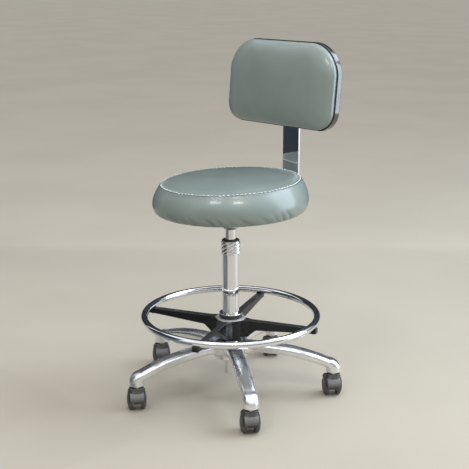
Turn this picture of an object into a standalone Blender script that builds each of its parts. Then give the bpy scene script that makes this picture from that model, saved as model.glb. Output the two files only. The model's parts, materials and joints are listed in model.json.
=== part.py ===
"""Medical rolling stool: round padded seat, flat-bar backrest, foot ring and a five-star base.

Units are metres, +Z is up and the sitter faces -Y. Every height is stacked up from the floor:
caster, base, column, seat plate, cushion and backrest. The part's origin is the middle of its
bounding box at floor level, so the column's axis lies a little off it.
"""

import math

import bmesh
import bpy
from mathutils import Matrix, Vector

# Fits
SEAT_GAP = 0.0003
RUN_GAP = 0.0005

# Casters
CASTER_COUNT = 5
CASTER_CIRCLE = 0.275
FIRST_LEG_ANGLE = math.radians(37.5)
CASTER_HEADING = math.radians(-37.0)
CASTER_TRAIL = 0.012
WHEEL_RADIUS = 0.025
WHEEL_WIDTH = 0.0125
WHEEL_TREAD = 0.0082
WHEEL_SHOULDER = 0.006
WHEEL_DOME = 0.0025
WHEEL_EDGE = 0.0016
WHEEL_SIDES = 20
WHEEL_SIDE_GAP = 0.0008
AXLE_RADIUS = 0.004
WHEEL_CAP = 0.0035
WEB_THICKNESS = 0.020
WEB_HUB_RADIUS = 0.010
WEB_FROM = math.radians(-8.0)
WEB_SQUARENESS = 2.0
HOOD_CLEARANCE = 0.002
HOOD_WALL = 0.0035
HOOD_BEVEL_WIDTH = 0.0051
HOOD_BEVEL_DROP = 0.006
HOOD_SQUARENESS = 2.8
HOOD_SIDE_INSET = 0.001
HOOD_FROM = math.radians(7.0)
HOOD_TO = math.radians(130.0)
HOOD_STEPS = 7
BOSS_RISE = 0.007
BOSS_TOP_WIDTH = 0.037
BOSS_TOP_DEPTH = 0.021
BOSS_FLARE = 0.0025
BOSS_DROP = 0.0175
STEM_RADIUS = 0.0055
STEM_GRIP = 0.012
STEM_LENGTH = 0.0225
STEM_TIP = 0.001
FLANGE_WIDTH = 0.0035
FLANGE_THICKNESS = 0.007

# Five-star base
NECK_RADIUS = 0.0195
ELBOW_FILLET = 0.002
ELBOW_STEPS = 4
SOCKET_SPARE = 0.001
SOCKET_RISE = 0.012
LEG_SLOPE = math.radians(22.0)
LEG_ROOT_WIDTH = 0.044
LEG_END_WIDTH = 0.038
LEG_ROOT_DEPTH = 0.027
LEG_END_DEPTH = 0.024
LEG_ROOT_HANDLE = 0.095
LEG_END_HANDLE = 0.070
LEG_SECTION_POINTS = 12
LEG_STEPS = 6
LEG_SQUARENESS = 3.0
LEG_WALL = 0.0045
POCKET_FROM = 0.30
POCKET_TO = 0.96
BASE_RISE = 0.0735
BASE_HUB_WALL = 0.0265
BASE_HUB_DEPTH = 0.046
BASE_HUB_CROWN = 0.0015
BASE_HUB_EDGE = 0.0035
LEG_ROOT_INSET = 0.014

# Column and gas lift
COLUMN_WALL = 0.0025
COLUMN_LENGTH = 0.275
SHOULDER_WIDTH = 0.00525
SPIGOT_WALL = 0.0022
SPIGOT_LENGTH = 0.0925
SPIGOT_FLOOR = 0.004
COLLAR_LENGTH = 0.037
COLLAR_WALL = 0.0010
COLLAR_RIB = 0.0014
COLLAR_RIBS = 8
COLLAR_RIB_POINTS = 4
COLLAR_STEPS = 5
COLLAR_TWIST = math.radians(160.0)
BUSH_LENGTH = 0.080
BUSH_WALL = 0.00495
BUSH_RIM = 0.0023
CYLINDER_RADIUS = 0.014
CYLINDER_WALL = 0.0018
CYLINDER_LENGTH = 0.273
CYLINDER_SEAL = 0.015
CYLINDER_CROWN = 0.018
ROD_RADIUS = 0.005
ROD_END_RADIUS = 0.004
ROD_END_DROP = 0.0065
ROD_FLANGE_RADIUS = 0.009
ROD_FLANGE_THICKNESS = 0.004
PISTON_THICKNESS = 0.012
PISTON_STANDOFF = 0.015
LIFT_UP = 0.105
BEARING_THICKNESS = 0.006
BEARING_SIDE_GAP = 0.002
CLIP_WIDTH = 0.0045
CLIP_THICKNESS = 0.0027

# Foot ring
COLLET_WALL = 0.0045
COLLET_FOOT = 0.0095
COLLET_STEP_WIDTH = 0.00275
COLLET_STEP_HEIGHT = 0.011
COLLET_RIM_WIDTH = 0.00325
COLLET_RIM_HEIGHT = 0.002
SPIDER_WALL = 0.0105
SPIDER_HEIGHT = 0.0625
SPIDER_EDGE = 0.002
ARM_COUNT = 4
FIRST_ARM_ANGLE = math.radians(23.6)
ARM_THICKNESS = 0.018
ARM_ROOT_DEPTH = 0.046
ARM_ROOT_THICKNESS = 0.036
ARM_ROOT_REACH = 0.019
ARM_NECK_DEPTH = 0.026
ARM_TIP_DEPTH = 0.0145
ARM_STEP_FROM = 0.013
ARM_STEP_TO = 0.035
ARM_OVERHANG = 0.001
RING_RADIUS = 0.2286
RING_TUBE = 0.0095
RING_STEPS = 44
RING_SIDES = 9
SADDLE_DEPTH = 0.0025
RING_SCREW_RADIUS = 0.0025
RING_SCREW_HEAD_RADIUS = 0.005
RING_SCREW_HEAD_HEIGHT = 0.0028

# Seat
LIFT_REST = 0.031
SEAT_HUB_WALL = 0.0097
SEAT_HUB_LENGTH = 0.050
SEAT_HUB_CHAMFER = 0.0075
LEVER_CHAMBER = 0.0135
PLATE_THICKNESS = 0.003
PLATE_FRONT = 0.060
PLATE_MARGIN = 0.005
PLATE_CORNER = 0.020
PLATE_CORNER_POINTS = 4
BOARD_THICKNESS = 0.012
BOARD_INSET = 0.017
BOLT_RADIUS = 0.003
BOLT_HEAD_RADIUS = 0.0055
BOLT_HEAD_HEIGHT = 0.004
BOLT_COVER = 0.003
BOLT_CLEARANCE = 0.004
BOLT_EDGE = 0.013
SEAT_RADIUS = 0.202
SEAT_SIDES = 44
CUSHION_HEIGHT = 0.086
CUSHION_BULGE_HEIGHT = 0.023
CUSHION_SEAM_HEIGHT = 0.0745
CUSHION_SEAM_INSET = 0.0215
CUSHION_SEAM_DEPTH = 0.0022
CUSHION_SEAM_WIDTH = 0.0035
CUSHION_TUCK = 0.020
CUSHION_SKIN = 0.0016
CUSHION_DROOP = 0.0004
CUSHION_FOOT_INSET = 0.014
CUSHION_CROWN_STATIONS = (0.0, 0.45, 0.75)
CUSHION_SIDE_STEPS = 6
CUSHION_SIDE_POWER = 1.9
CUSHION_FOOT_STEPS = 3

# Height release lever and valve
VALVE_PIN_RADIUS = 0.0035
VALVE_PIN_LENGTH = 0.027
LEVER_RADIUS = 0.003
LEVER_SIDES = 8
LEVER_TONGUE = 0.003
LEVER_PIVOT_OFFSET = 0.008
LEVER_REACH = 0.190
LEVER_DROP = 0.033
LEVER_KNEE = 0.028
LEVER_BOSS_WALL = 0.0016
LEVER_BOSS_LENGTH = 0.010
TRUNNION_RADIUS = 0.0022
EAR_THICKNESS = 0.003
EAR_WIDTH = 0.010
EAR_DROP = 0.010
GRIP_LENGTH = 0.052
GRIP_WIDTH = 0.022
GRIP_HEIGHT = 0.011
GRIP_OVERLAP = 0.030
GRIP_CORNER = 0.0073
GRIP_CORNER_POINTS = 4

# Flat bar that carries the backrest
BAR_WIDTH = 0.057
BAR_THICKNESS = 0.006
BAR_DROP = 0.0015
BAR_TAIL = 0.008
BAR_STANDOFF = 0.030
BAR_BEND_RADIUS = 0.030
BAR_BEND_STEPS = 6
BAR_TOP = 0.030
GUIDE_FROM = 0.068
GUIDE_LENGTH = 0.052
GUIDE_WALL = 0.0025
GUIDE_FLANGE = 0.009
GUIDE_NUT_RADIUS = 0.008
GUIDE_NUT_HEIGHT = 0.006
KNOB_RADIUS = 0.019
KNOB_HEIGHT = 0.015
KNOB_LOBES = 6
KNOB_LOBE_POINTS = 6
KNOB_LOBE_DEPTH = 0.0022
KNOB_STANDOFF = 0.004
STUD_RADIUS = 0.004

# Backrest
BACK_RISE = 0.309
BACK_RECLINE = math.radians(5.5)
PAD_WIDTH = 0.376
PAD_HEIGHT = 0.220
PAD_TOP_CORNER = 0.105
PAD_BOTTOM_CORNER = 0.060
PAD_THICKNESS = 0.049
PAD_SEAT_DEPTH = 0.011
PAD_SIDE_DEPTH = 0.009
PAD_CROWN = 0.010
PAD_CROWN_INSET = 0.085
PAD_ROLL_INSET = 0.038
PAD_ROLL_STEPS = 4
PAD_CORNER_POINTS = 7
SHELL_LIP = 0.003
SHELL_WALL = 0.003
SHELL_RIM_DEPTH = 0.0155
SHELL_BACK_DEPTH = 0.0075
SHELL_BACK_INSET = 0.022
SHELL_ROUNDING = 0.7
BACK_BOARD_THICKNESS = 0.008
BACK_BOARD_INSET = 0.004
SLEEVE_SEAT = 0.0125
SLEEVE_WALL = 0.0115
SLEEVE_BACK_WALL = 0.006
SLEEVE_ABOVE = 0.060
SLEEVE_BELOW = 0.072
SLEEVE_FLANGE = 0.018
SLEEVE_FLANGE_HEIGHT = 0.044
SLEEVE_FLANGE_THICKNESS = 0.0035
SLEEVE_KNOB_BELOW = 0.040
SLEEVE_SCREW_RADIUS = 0.002
SLEEVE_SCREW_HEAD_RADIUS = 0.005
SLEEVE_SCREW_HEAD_HEIGHT = 0.003
SLEEVE_SCREW_COVER = 0.002

# Facets of small round pieces
FINE_SIDES = 28
ROUND_SIDES = 20
SMALL_SIDES = 12
PIN_SIDES = 10
HEX_SIDES = 6
SHARP_EDGE = math.radians(35.0)

# Caster levels
AXLE_HEIGHT = WHEEL_RADIUS
HOOD_INNER = WHEEL_RADIUS + HOOD_CLEARANCE
HOOD_OUTER = HOOD_INNER + HOOD_WALL
WHEEL_INNER_FACE = WEB_THICKNESS / 2 + WHEEL_SIDE_GAP
HOOD_HALF_WIDTH = WHEEL_INNER_FACE + WHEEL_WIDTH - HOOD_SIDE_INSET
AXLE_REACH = WHEEL_WIDTH - WHEEL_CAP
BOSS_TOP = AXLE_HEIGHT + HOOD_OUTER + BOSS_RISE
FLANGE_BOTTOM = BOSS_TOP + SEAT_GAP
FLANGE_TOP = FLANGE_BOTTOM + FLANGE_THICKNESS
FLANGE_RADIUS = STEM_RADIUS + FLANGE_WIDTH

# Bores that follow from the gas cylinder outwards
BUSH_BORE = CYLINDER_RADIUS + RUN_GAP
COLUMN_BORE = BUSH_BORE + BUSH_WALL + SEAT_GAP
COLUMN_RADIUS = COLUMN_BORE + COLUMN_WALL
SPIGOT_RADIUS = COLUMN_RADIUS - SHOULDER_WIDTH
SPIGOT_BORE = SPIGOT_RADIUS - SPIGOT_WALL
SEAT_HUB_RADIUS = CYLINDER_RADIUS + SEAT_GAP + SEAT_HUB_WALL

# Base levels
NECK_BOTTOM = FLANGE_TOP + SEAT_GAP
SOCKET_TOP = NECK_BOTTOM + STEM_LENGTH + SOCKET_SPARE
LEG_TOP = NECK_BOTTOM + BASE_RISE
BASE_TOP = LEG_TOP + BASE_HUB_CROWN
BASE_HUB_RADIUS = SPIGOT_RADIUS + SEAT_GAP + BASE_HUB_WALL

# Column levels
SHOULDER = BASE_TOP + SEAT_GAP
COLUMN_TOP = SHOULDER + COLUMN_LENGTH
SPIGOT_BOTTOM = SHOULDER - SPIGOT_LENGTH
BEARING_BOTTOM = SPIGOT_BOTTOM + SPIGOT_FLOOR + SEAT_GAP
ROD_FLANGE_BOTTOM = BEARING_BOTTOM + BEARING_THICKNESS + SEAT_GAP
BUSH_TOP = COLUMN_TOP + SEAT_GAP + BUSH_RIM

# Foot ring levels
COLLET_BORE = COLUMN_RADIUS + RUN_GAP
COLLET_RADIUS = COLLET_BORE + COLLET_WALL
SPIDER_BORE = COLLET_RADIUS + SEAT_GAP
SPIDER_RADIUS = SPIDER_BORE + SPIDER_WALL
SPIDER_BOTTOM = BASE_TOP + SEAT_GAP
SPIDER_TOP = SPIDER_BOTTOM + SPIDER_HEIGHT
RING_HEIGHT = SPIDER_TOP + RING_TUBE - SADDLE_DEPTH
ARM_TIP = RING_RADIUS + RING_TUBE + ARM_OVERHANG

# Seat levels
SEAT_HUB_BOTTOM = COLUMN_TOP + LIFT_REST
PLATE_BOTTOM = SEAT_HUB_BOTTOM + SEAT_HUB_LENGTH
PLATE_TOP = PLATE_BOTTOM + PLATE_THICKNESS
BOARD_BOTTOM = PLATE_TOP + SEAT_GAP
BOARD_TOP = BOARD_BOTTOM + BOARD_THICKNESS
BOARD_RADIUS = SEAT_RADIUS - BOARD_INSET
CYLINDER_TOP = PLATE_BOTTOM - LEVER_CHAMBER
CYLINDER_BOTTOM = CYLINDER_TOP - CYLINDER_LENGTH
PISTON_BOTTOM = CYLINDER_BOTTOM + CYLINDER_SEAL + LIFT_UP + PISTON_STANDOFF
LEVER_BOSS_RADIUS = LEVER_RADIUS + LEVER_BOSS_WALL
LEVER_HEIGHT = PLATE_BOTTOM - LEVER_BOSS_RADIUS - RUN_GAP
VALVE_PIN_TOP = LEVER_HEIGHT - LEVER_RADIUS - SEAT_GAP
LEVER_PIVOT = SEAT_HUB_RADIUS + LEVER_PIVOT_OFFSET

# Bar and backrest levels
BAR_HEIGHT = PLATE_BOTTOM - BAR_DROP - BAR_THICKNESS / 2
BAR_START = GUIDE_FROM - BAR_TAIL
BAR_REACH = SEAT_RADIUS + BAR_STANDOFF
GUIDE_FLOOR = BAR_HEIGHT - BAR_THICKNESS / 2 - RUN_GAP
GUIDE_HALF_WIDTH = BAR_WIDTH / 2 + RUN_GAP
GUIDE_OUTER = GUIDE_HALF_WIDTH + GUIDE_WALL + GUIDE_FLANGE
GUIDE_KNOB_Y = GUIDE_FROM + GUIDE_LENGTH / 2
PLATE_BACK = GUIDE_FROM + GUIDE_LENGTH + PLATE_MARGIN
BOLT_X = GUIDE_OUTER + BOLT_CLEARANCE + BOLT_HEAD_RADIUS
PLATE_HALF_WIDTH = BOLT_X + BOLT_EDGE
BACK_CENTRE = PLATE_BOTTOM + BACK_RISE
SLOT_FRONT = BAR_REACH - BAR_THICKNESS / 2 - RUN_GAP
SLOT_BACK = BAR_REACH + BAR_THICKNESS / 2 + RUN_GAP
SLEEVE_FRONT = SLOT_FRONT - SLEEVE_SEAT
SLEEVE_BACK = SLOT_BACK + SLEEVE_BACK_WALL
SLEEVE_HALF_WIDTH = GUIDE_HALF_WIDTH + SLEEVE_WALL
SLEEVE_SCREW_X = SLEEVE_HALF_WIDTH + SLEEVE_FLANGE / 2
SHELL_BACK = SLEEVE_FRONT - SEAT_GAP
SHELL_FLOOR = SHELL_BACK - SHELL_WALL
SHELL_FRONT = SHELL_BACK - SHELL_BACK_DEPTH - SHELL_RIM_DEPTH
BACK_BOARD_BACK = SHELL_FLOOR - SEAT_GAP
BACK_BOARD_FRONT = BACK_BOARD_BACK - BACK_BOARD_THICKNESS
PAD_BACK = BACK_BOARD_FRONT - SEAT_GAP


def clear_scene():
    """Remove every object of the opened scene."""
    for item in list(bpy.data.objects):
        bpy.data.objects.remove(item, do_unlink=True)


def make_material(name, colour, roughness, metallic):
    """Make a Principled material."""
    material = bpy.data.materials.new(name)
    material.use_nodes = True
    shader = material.node_tree.nodes["Principled BSDF"]
    shader.inputs["Base Color"].default_value = (*colour, 1.0)
    shader.inputs["Roughness"].default_value = roughness
    shader.inputs["Metallic"].default_value = metallic
    material.diffuse_color = (*colour, 1.0)
    return material


def close_mesh(name, work):
    """Turn a bmesh into a mesh whose faces point out."""
    bmesh.ops.recalc_face_normals(work, faces=work.faces)
    mesh = bpy.data.meshes.new(name)
    work.to_mesh(mesh)
    work.free()
    return mesh


def loft(name, loops, ring=False):
    """Skin loops of equal count in order, with end caps or, for a ring, from last to first."""
    work = bmesh.new()
    rows = [[work.verts.new(point) for point in loop] for loop in loops]
    pairs = list(zip(rows, rows[1:]))
    if ring:
        pairs.append((rows[-1], rows[0]))
    else:
        work.faces.new(rows[0])
        work.faces.new(rows[-1])
    for low, high in pairs:
        for i in range(len(low)):
            j = (i + 1) % len(low)
            work.faces.new((low[i], low[j], high[j], high[i]))
    return close_mesh(name, work)


def turn(name, profile, sides, offset=0.0):
    """Revolve a closed outline of (radius, height) points about Z, the first side turned by offset."""
    work = bmesh.new()
    rows = []
    for radius, height in profile:
        if radius == 0.0:
            rows.append([work.verts.new((0.0, 0.0, height))])
            continue
        angles = [offset + math.tau * i / sides for i in range(sides)]
        rows.append([work.verts.new((radius * math.cos(a), radius * math.sin(a), height)) for a in angles])
    for low, high in zip(rows, rows[1:] + rows[:1]):
        if len(low) == 1 and len(high) == 1:
            continue
        for i in range(sides):
            j = (i + 1) % sides
            corners = [low[i % len(low)], low[j % len(low)], high[j % len(high)], high[i % len(high)]]
            work.faces.new(list(dict.fromkeys(corners)))
    return close_mesh(name, work)


def rod(name, radius, low, high, sides):
    """Make a plain cylinder along Z."""
    return turn(name, [(0.0, low), (radius, low), (radius, high), (0.0, high)], sides)


def tube(name, bore, radius, low, high, sides):
    """Make a plain ring along Z."""
    return turn(name, [(bore, low), (radius, low), (radius, high), (bore, high)], sides)


def prism(name, outline, low, high):
    """Extrude an outline of (x, y) points along Z."""
    return loft(name, [[(x, y, z) for x, y in outline] for z in (low, high)])


def box(name, low, high):
    """Make a box from its two far corners."""
    outline = [(low[0], low[1]), (high[0], low[1]), (high[0], high[1]), (low[0], high[1])]
    return prism(name, outline, low[2], high[2])


def arc_points(centre, radius, start, stop, steps):
    """List points on an arc, both ends included."""
    angles = [start + (stop - start) * i / steps for i in range(steps + 1)]
    return [(centre[0] + radius * math.cos(a), centre[1] + radius * math.sin(a)) for a in angles]


def rounded_outline(width, height, top_corner, bottom_corner, points):
    """Outline a rectangle about the origin with round corners, as (x, z) points."""
    outline = []
    for quarter in range(4):
        side = 1 if quarter in (0, 3) else -1
        level = 1 if quarter in (0, 1) else -1
        corner = top_corner if level > 0 else bottom_corner
        centre = (side * (width / 2 - corner), level * (height / 2 - corner))
        start = quarter * math.pi / 2
        outline += arc_points(centre, corner, start, start + math.pi / 2, points - 1)
    return outline


def along_y(mesh):
    """Lay a mesh that was made along +Z along +Y."""
    mesh.transform(Matrix.Rotation(-math.pi / 2, 4, "X"))
    return mesh


def along_x(mesh):
    """Lay a mesh that was made along +Z along +X."""
    mesh.transform(Matrix.Rotation(math.pi / 2, 4, "Y"))
    return mesh


def moved(mesh, x=0.0, y=0.0, z=0.0):
    """Shift a mesh in place."""
    mesh.transform(Matrix.Translation((x, y, z)))
    return mesh


def turned(mesh, angle):
    """Turn a mesh in place about Z."""
    mesh.transform(Matrix.Rotation(angle, 4, "Z"))
    return mesh


def combine(mesh, operation, others):
    """Return the mesh after a Boolean with each of the others."""
    body = bpy.data.objects.new(mesh.name, mesh)
    bpy.context.scene.collection.objects.link(body)
    tools = [bpy.data.objects.new(other.name, other) for other in others]
    for tool in tools:
        bpy.context.scene.collection.objects.link(tool)
        modifier = body.modifiers.new(tool.name, "BOOLEAN")
        modifier.operation = operation
        modifier.solver = "EXACT"
        modifier.object = tool
    result = bpy.data.meshes.new_from_object(body.evaluated_get(bpy.context.evaluated_depsgraph_get()))
    for item in (body, *tools):
        bpy.data.objects.remove(item, do_unlink=True)
    return result


def fuse(mesh, *others):
    """Join meshes into one solid."""
    return combine(mesh, "UNION", others)


def carve(mesh, *cutters):
    """Cut meshes out of a solid."""
    return combine(mesh, "DIFFERENCE", cutters)


def trim(mesh, envelope):
    """Keep the part of a solid that lies in another."""
    return combine(mesh, "INTERSECT", [envelope])


def add_axis(name, parent, location=(0.0, 0.0, 0.0), angle=0.0):
    """Add an empty that a moving group turns or slides on."""
    axis = bpy.data.objects.new(name, None)
    bpy.context.scene.collection.objects.link(axis)
    axis.parent = parent
    axis.location = location
    axis.rotation_euler = (0.0, 0.0, angle)
    return axis


def add_node(name, mesh, material, parent):
    """Add one sub-part, shaded smooth across its round faces."""
    mesh.materials.clear()
    mesh.materials.append(material)
    mesh.shade_smooth()
    mesh.set_sharp_from_angle(angle=SHARP_EDGE)
    node = bpy.data.objects.new(name, mesh)
    bpy.context.scene.collection.objects.link(node)
    node.parent = parent
    return node


def sector(name, section, start, stop, steps, squareness):
    """Loft a section of (x, radius) points about the axle, boxier in profile with more squareness."""
    loops = []
    for i in range(steps + 1):
        angle = start + (stop - start) * i / steps
        c, s = math.cos(angle), math.sin(angle)
        reach = (abs(c) ** squareness + abs(s) ** squareness) ** (-1 / squareness)
        loops.append([(x, r * reach * c, r * reach * s) for x, r in section])
    return moved(loft(name, loops), y=-CASTER_TRAIL, z=AXLE_HEIGHT)


def hood_mesh():
    """Make a caster hood: a bevelled cover over both wheels, a web between them and a stem boss."""
    half, crown = HOOD_HALF_WIDTH, HOOD_HALF_WIDTH - HOOD_BEVEL_WIDTH
    shoulder, inside = HOOD_OUTER - HOOD_BEVEL_DROP, AXLE_RADIUS / 2
    cover = sector("cover", [
        (-half, inside), (half, inside), (half, shoulder),
        (crown, HOOD_OUTER), (-crown, HOOD_OUTER), (-half, shoulder),
    ], HOOD_FROM, HOOD_TO, HOOD_STEPS, HOOD_SQUARENESS)
    half_web = WEB_THICKNESS / 2
    flank = half_web - SEAT_GAP
    web = sector("web", [
        (-flank, inside), (flank, inside), (flank, HOOD_INNER), (-flank, HOOD_INNER),
    ], WEB_FROM, HOOD_FROM - WEB_FROM, HOOD_STEPS, WEB_SQUARENESS)
    hub = along_x(rod("hub", WEB_HUB_RADIUS, -half_web, half_web, SMALL_SIDES))
    moved(hub, y=-CASTER_TRAIL, z=AXLE_HEIGHT)
    boss_loops = []
    for level, grow in ((BOSS_TOP - BOSS_DROP, BOSS_FLARE), (BOSS_TOP, 0.0)):
        wide, deep = BOSS_TOP_WIDTH / 2 + grow, BOSS_TOP_DEPTH / 2 + grow / 2
        circle = arc_points((0.0, 0.0), 1.0, 0.0, math.tau, ROUND_SIDES)[:-1]
        boss_loops.append([(wide * c, deep * s, level) for c, s in circle])
    solid = fuse(cover, web, hub, loft("boss", boss_loops))
    wells = []
    far = half + HOOD_WALL
    well_shoulder = HOOD_INNER - WHEEL_SHOULDER
    profile = [
        (0.0, half_web), (HOOD_INNER, half_web), (HOOD_INNER, WHEEL_INNER_FACE + WHEEL_TREAD),
        (well_shoulder, WHEEL_INNER_FACE + WHEEL_WIDTH), (well_shoulder, far), (0.0, far),
    ]
    for side in (-1, 1):
        well = turn("well", profile, WHEEL_SIDES)
        well.transform(Matrix.Rotation(side * math.pi / 2, 4, "Y"))
        wells.append(moved(well, y=-CASTER_TRAIL, z=AXLE_HEIGHT))
    axle_hole = along_x(rod("axle_hole", AXLE_RADIUS + SEAT_GAP, -far, far, PIN_SIDES))
    moved(axle_hole, y=-CASTER_TRAIL, z=AXLE_HEIGHT)
    stem_low = BOSS_TOP - STEM_GRIP - SEAT_GAP
    stem_hole = rod("stem_hole", STEM_RADIUS + SEAT_GAP, stem_low, BOSS_TOP + STEM_GRIP, SMALL_SIDES)
    return carve(solid, *wells, axle_hole, stem_hole)


def stem_mesh():
    """Make the stem with its flange, from the hood's boss up into the leg's socket."""
    low, high = BOSS_TOP - STEM_GRIP, NECK_BOTTOM + STEM_LENGTH
    profile = [
        (0.0, low), (STEM_RADIUS, low), (STEM_RADIUS, FLANGE_BOTTOM),
        (FLANGE_RADIUS, FLANGE_BOTTOM), (FLANGE_RADIUS, FLANGE_TOP), (STEM_RADIUS, FLANGE_TOP),
        (STEM_RADIUS, high - STEM_TIP), (STEM_RADIUS - STEM_TIP, high), (0.0, high),
    ]
    return turn("stem", profile, SMALL_SIDES)


def axle_mesh():
    """Make the steel axle that both wheels turn on."""
    reach = WHEEL_INNER_FACE + AXLE_REACH
    return along_x(rod("axle", AXLE_RADIUS, -reach, reach, PIN_SIDES))


def wheel_mesh(side):
    """Make one wheel with a blind bore and a domed face, on the +X or -X side of the web."""
    tread = WHEEL_RADIUS / math.cos(math.pi / WHEEL_SIDES)
    bore = AXLE_RADIUS + RUN_GAP
    depth = AXLE_REACH + RUN_GAP
    profile = [
        (0.0, depth), (bore, depth), (bore, 0.0), (tread - WHEEL_EDGE, 0.0),
        (tread, WHEEL_EDGE), (tread, WHEEL_TREAD), (tread - WHEEL_SHOULDER, WHEEL_WIDTH),
        (0.0, WHEEL_WIDTH + WHEEL_DOME),
    ]
    mesh = turn("wheel", profile, WHEEL_SIDES, offset=math.pi / WHEEL_SIDES)
    mesh.transform(Matrix.Translation((0.0, 0.0, WHEEL_INNER_FACE)))
    mesh.transform(Matrix.Rotation(side * math.pi / 2, 4, "Y"))
    return mesh


def build_casters(root, nylon, tread, steel):
    """Add the five casters, all turned the same way as in the photograph."""
    hood, stem, axle = hood_mesh(), stem_mesh(), axle_mesh()
    wheels = {"left": wheel_mesh(-1), "right": wheel_mesh(1)}
    for number in range(CASTER_COUNT):
        angle = FIRST_LEG_ANGLE + math.tau * number / CASTER_COUNT
        place = (CASTER_CIRCLE * math.cos(angle), CASTER_CIRCLE * math.sin(angle), 0.0)
        name = f"caster_{number + 1}"
        swivel = add_axis(f"{name}_swivel", root, place, CASTER_HEADING - math.pi / 2)
        add_node(f"{name}_hood", hood, nylon, swivel)
        add_node(f"{name}_stem", stem, steel, swivel)
        spin = add_axis(f"{name}_spin", swivel, (0.0, -CASTER_TRAIL, AXLE_HEIGHT))
        add_node(f"{name}_axle", axle, steel, spin)
        for side, wheel in wheels.items():
            add_node(f"{name}_wheel_{side}", wheel, tread, spin)


def leg_section(centre, normal, half_width, half_depth, squareness):
    """List the points of one rounded leg section, in the leg's radius-height plane."""
    points = []
    for i in range(LEG_SECTION_POINTS):
        angle = math.tau * (i + 0.5) / LEG_SECTION_POINTS
        c, s = math.cos(angle), math.sin(angle)
        across = half_width * math.copysign(abs(c) ** (2 / squareness), c)
        up = half_depth * math.copysign(abs(s) ** (2 / squareness), s)
        points.append((centre[0] + normal[0] * up, across, centre[1] + normal[1] * up))
    return points


def leg_frame():
    """Return the leg's inner elbow corner and the control points of its top line."""
    corner = Vector((CASTER_CIRCLE - NECK_RADIUS - ELBOW_FILLET, SOCKET_TOP - SOCKET_RISE))
    normal = Vector((math.sin(LEG_SLOPE), math.cos(LEG_SLOPE)))
    outward = Vector((math.cos(LEG_SLOPE), -math.sin(LEG_SLOPE)))
    end = corner + normal * (ELBOW_FILLET + LEG_END_DEPTH)
    start = Vector((BASE_HUB_RADIUS - LEG_ROOT_INSET, LEG_TOP))
    handles = [start, start + Vector((LEG_ROOT_HANDLE, 0.0)), end - outward * LEG_END_HANDLE, end]
    return corner, handles


def leg_top(handles, t):
    """Return a point of the leg's top line and its upward normal."""
    a, b, c, d = handles
    point = a * (1 - t) ** 3 + b * 3 * t * (1 - t) ** 2 + c * 3 * t * t * (1 - t) + d * t ** 3
    slope = (b - a) * (1 - t) ** 2 + (c - b) * 2 * t * (1 - t) + (d - c) * t * t
    slope.normalize()
    return point, Vector((-slope.y, slope.x))


def leg_mesh():
    """Sweep one leg along +X, from inside the hub, over the elbow and down to the socket."""
    corner, handles = leg_frame()
    loops = []
    for i in range(LEG_STEPS):
        t = i / LEG_STEPS
        point, normal = leg_top(handles, t)
        width = LEG_ROOT_WIDTH + (LEG_END_WIDTH - LEG_ROOT_WIDTH) * t
        depth = LEG_ROOT_DEPTH + (LEG_END_DEPTH - LEG_ROOT_DEPTH) * t
        loops.append(leg_section(point - normal * depth / 2, normal, width / 2, depth / 2, LEG_SQUARENESS))
    for i in range(ELBOW_STEPS + 1):
        t = i / ELBOW_STEPS
        angle = LEG_SLOPE + (math.pi / 2 - LEG_SLOPE) * t
        normal = Vector((math.sin(angle), math.cos(angle)))
        half_depth = LEG_END_DEPTH / 2 + (NECK_RADIUS - LEG_END_DEPTH / 2) * t
        half_width = LEG_END_WIDTH / 2 + (NECK_RADIUS - LEG_END_WIDTH / 2) * t
        squareness = LEG_SQUARENESS + (2.0 - LEG_SQUARENESS) * t
        centre = corner + normal * (ELBOW_FILLET + half_depth)
        loops.append(leg_section(centre, normal, half_width, half_depth, squareness))
    foot = Vector((CASTER_CIRCLE, NECK_BOTTOM))
    loops.append(leg_section(foot, Vector((1.0, 0.0)), NECK_RADIUS, NECK_RADIUS, 2.0))
    return loft("leg", loops)


def pocket_mesh():
    """Make the cutter that hollows one leg from below, leaving its top and side walls."""
    _, handles = leg_frame()
    loops = []
    for i in range(LEG_STEPS):
        t = POCKET_FROM + (POCKET_TO - POCKET_FROM) * i / (LEG_STEPS - 1)
        point, normal = leg_top(handles, t)
        half = (LEG_ROOT_WIDTH + (LEG_END_WIDTH - LEG_ROOT_WIDTH) * t) / 2 - LEG_WALL
        roof, below = point - normal * LEG_WALL, point - normal * (LEG_ROOT_DEPTH + LEG_WALL)
        loops.append([
            (roof.x, -half + LEG_WALL, roof.y), (roof.x, half - LEG_WALL, roof.y),
            (below.x, half, below.y), (below.x, -half, below.y),
        ])
    return loft("pocket", loops)


def build_base(root, aluminium):
    """Add the cast five-star base: a hub and five hollow legs with stem sockets."""
    low = BASE_TOP - BASE_HUB_DEPTH
    edge = BASE_HUB_EDGE
    bore = SPIGOT_RADIUS + SEAT_GAP
    hub = turn("hub", [
        (bore, low), (BASE_HUB_RADIUS, low), (BASE_HUB_RADIUS, BASE_TOP - edge),
        (BASE_HUB_RADIUS - edge, BASE_TOP), (bore, BASE_TOP),
    ], FINE_SIDES)
    angles = [FIRST_LEG_ANGLE + math.tau * i / CASTER_COUNT for i in range(CASTER_COUNT)]
    star = fuse(hub, *[turned(leg_mesh(), angle) for angle in angles])
    cutters = []
    for angle in angles:
        cutters.append(turned(pocket_mesh(), angle))
        socket = rod("socket", STEM_RADIUS + RUN_GAP, NECK_BOTTOM - SOCKET_SPARE, SOCKET_TOP, SMALL_SIDES)
        cutters.append(turned(moved(socket, x=CASTER_CIRCLE), angle))
    add_node("base_star", carve(star, *cutters), aluminium, root)


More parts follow.
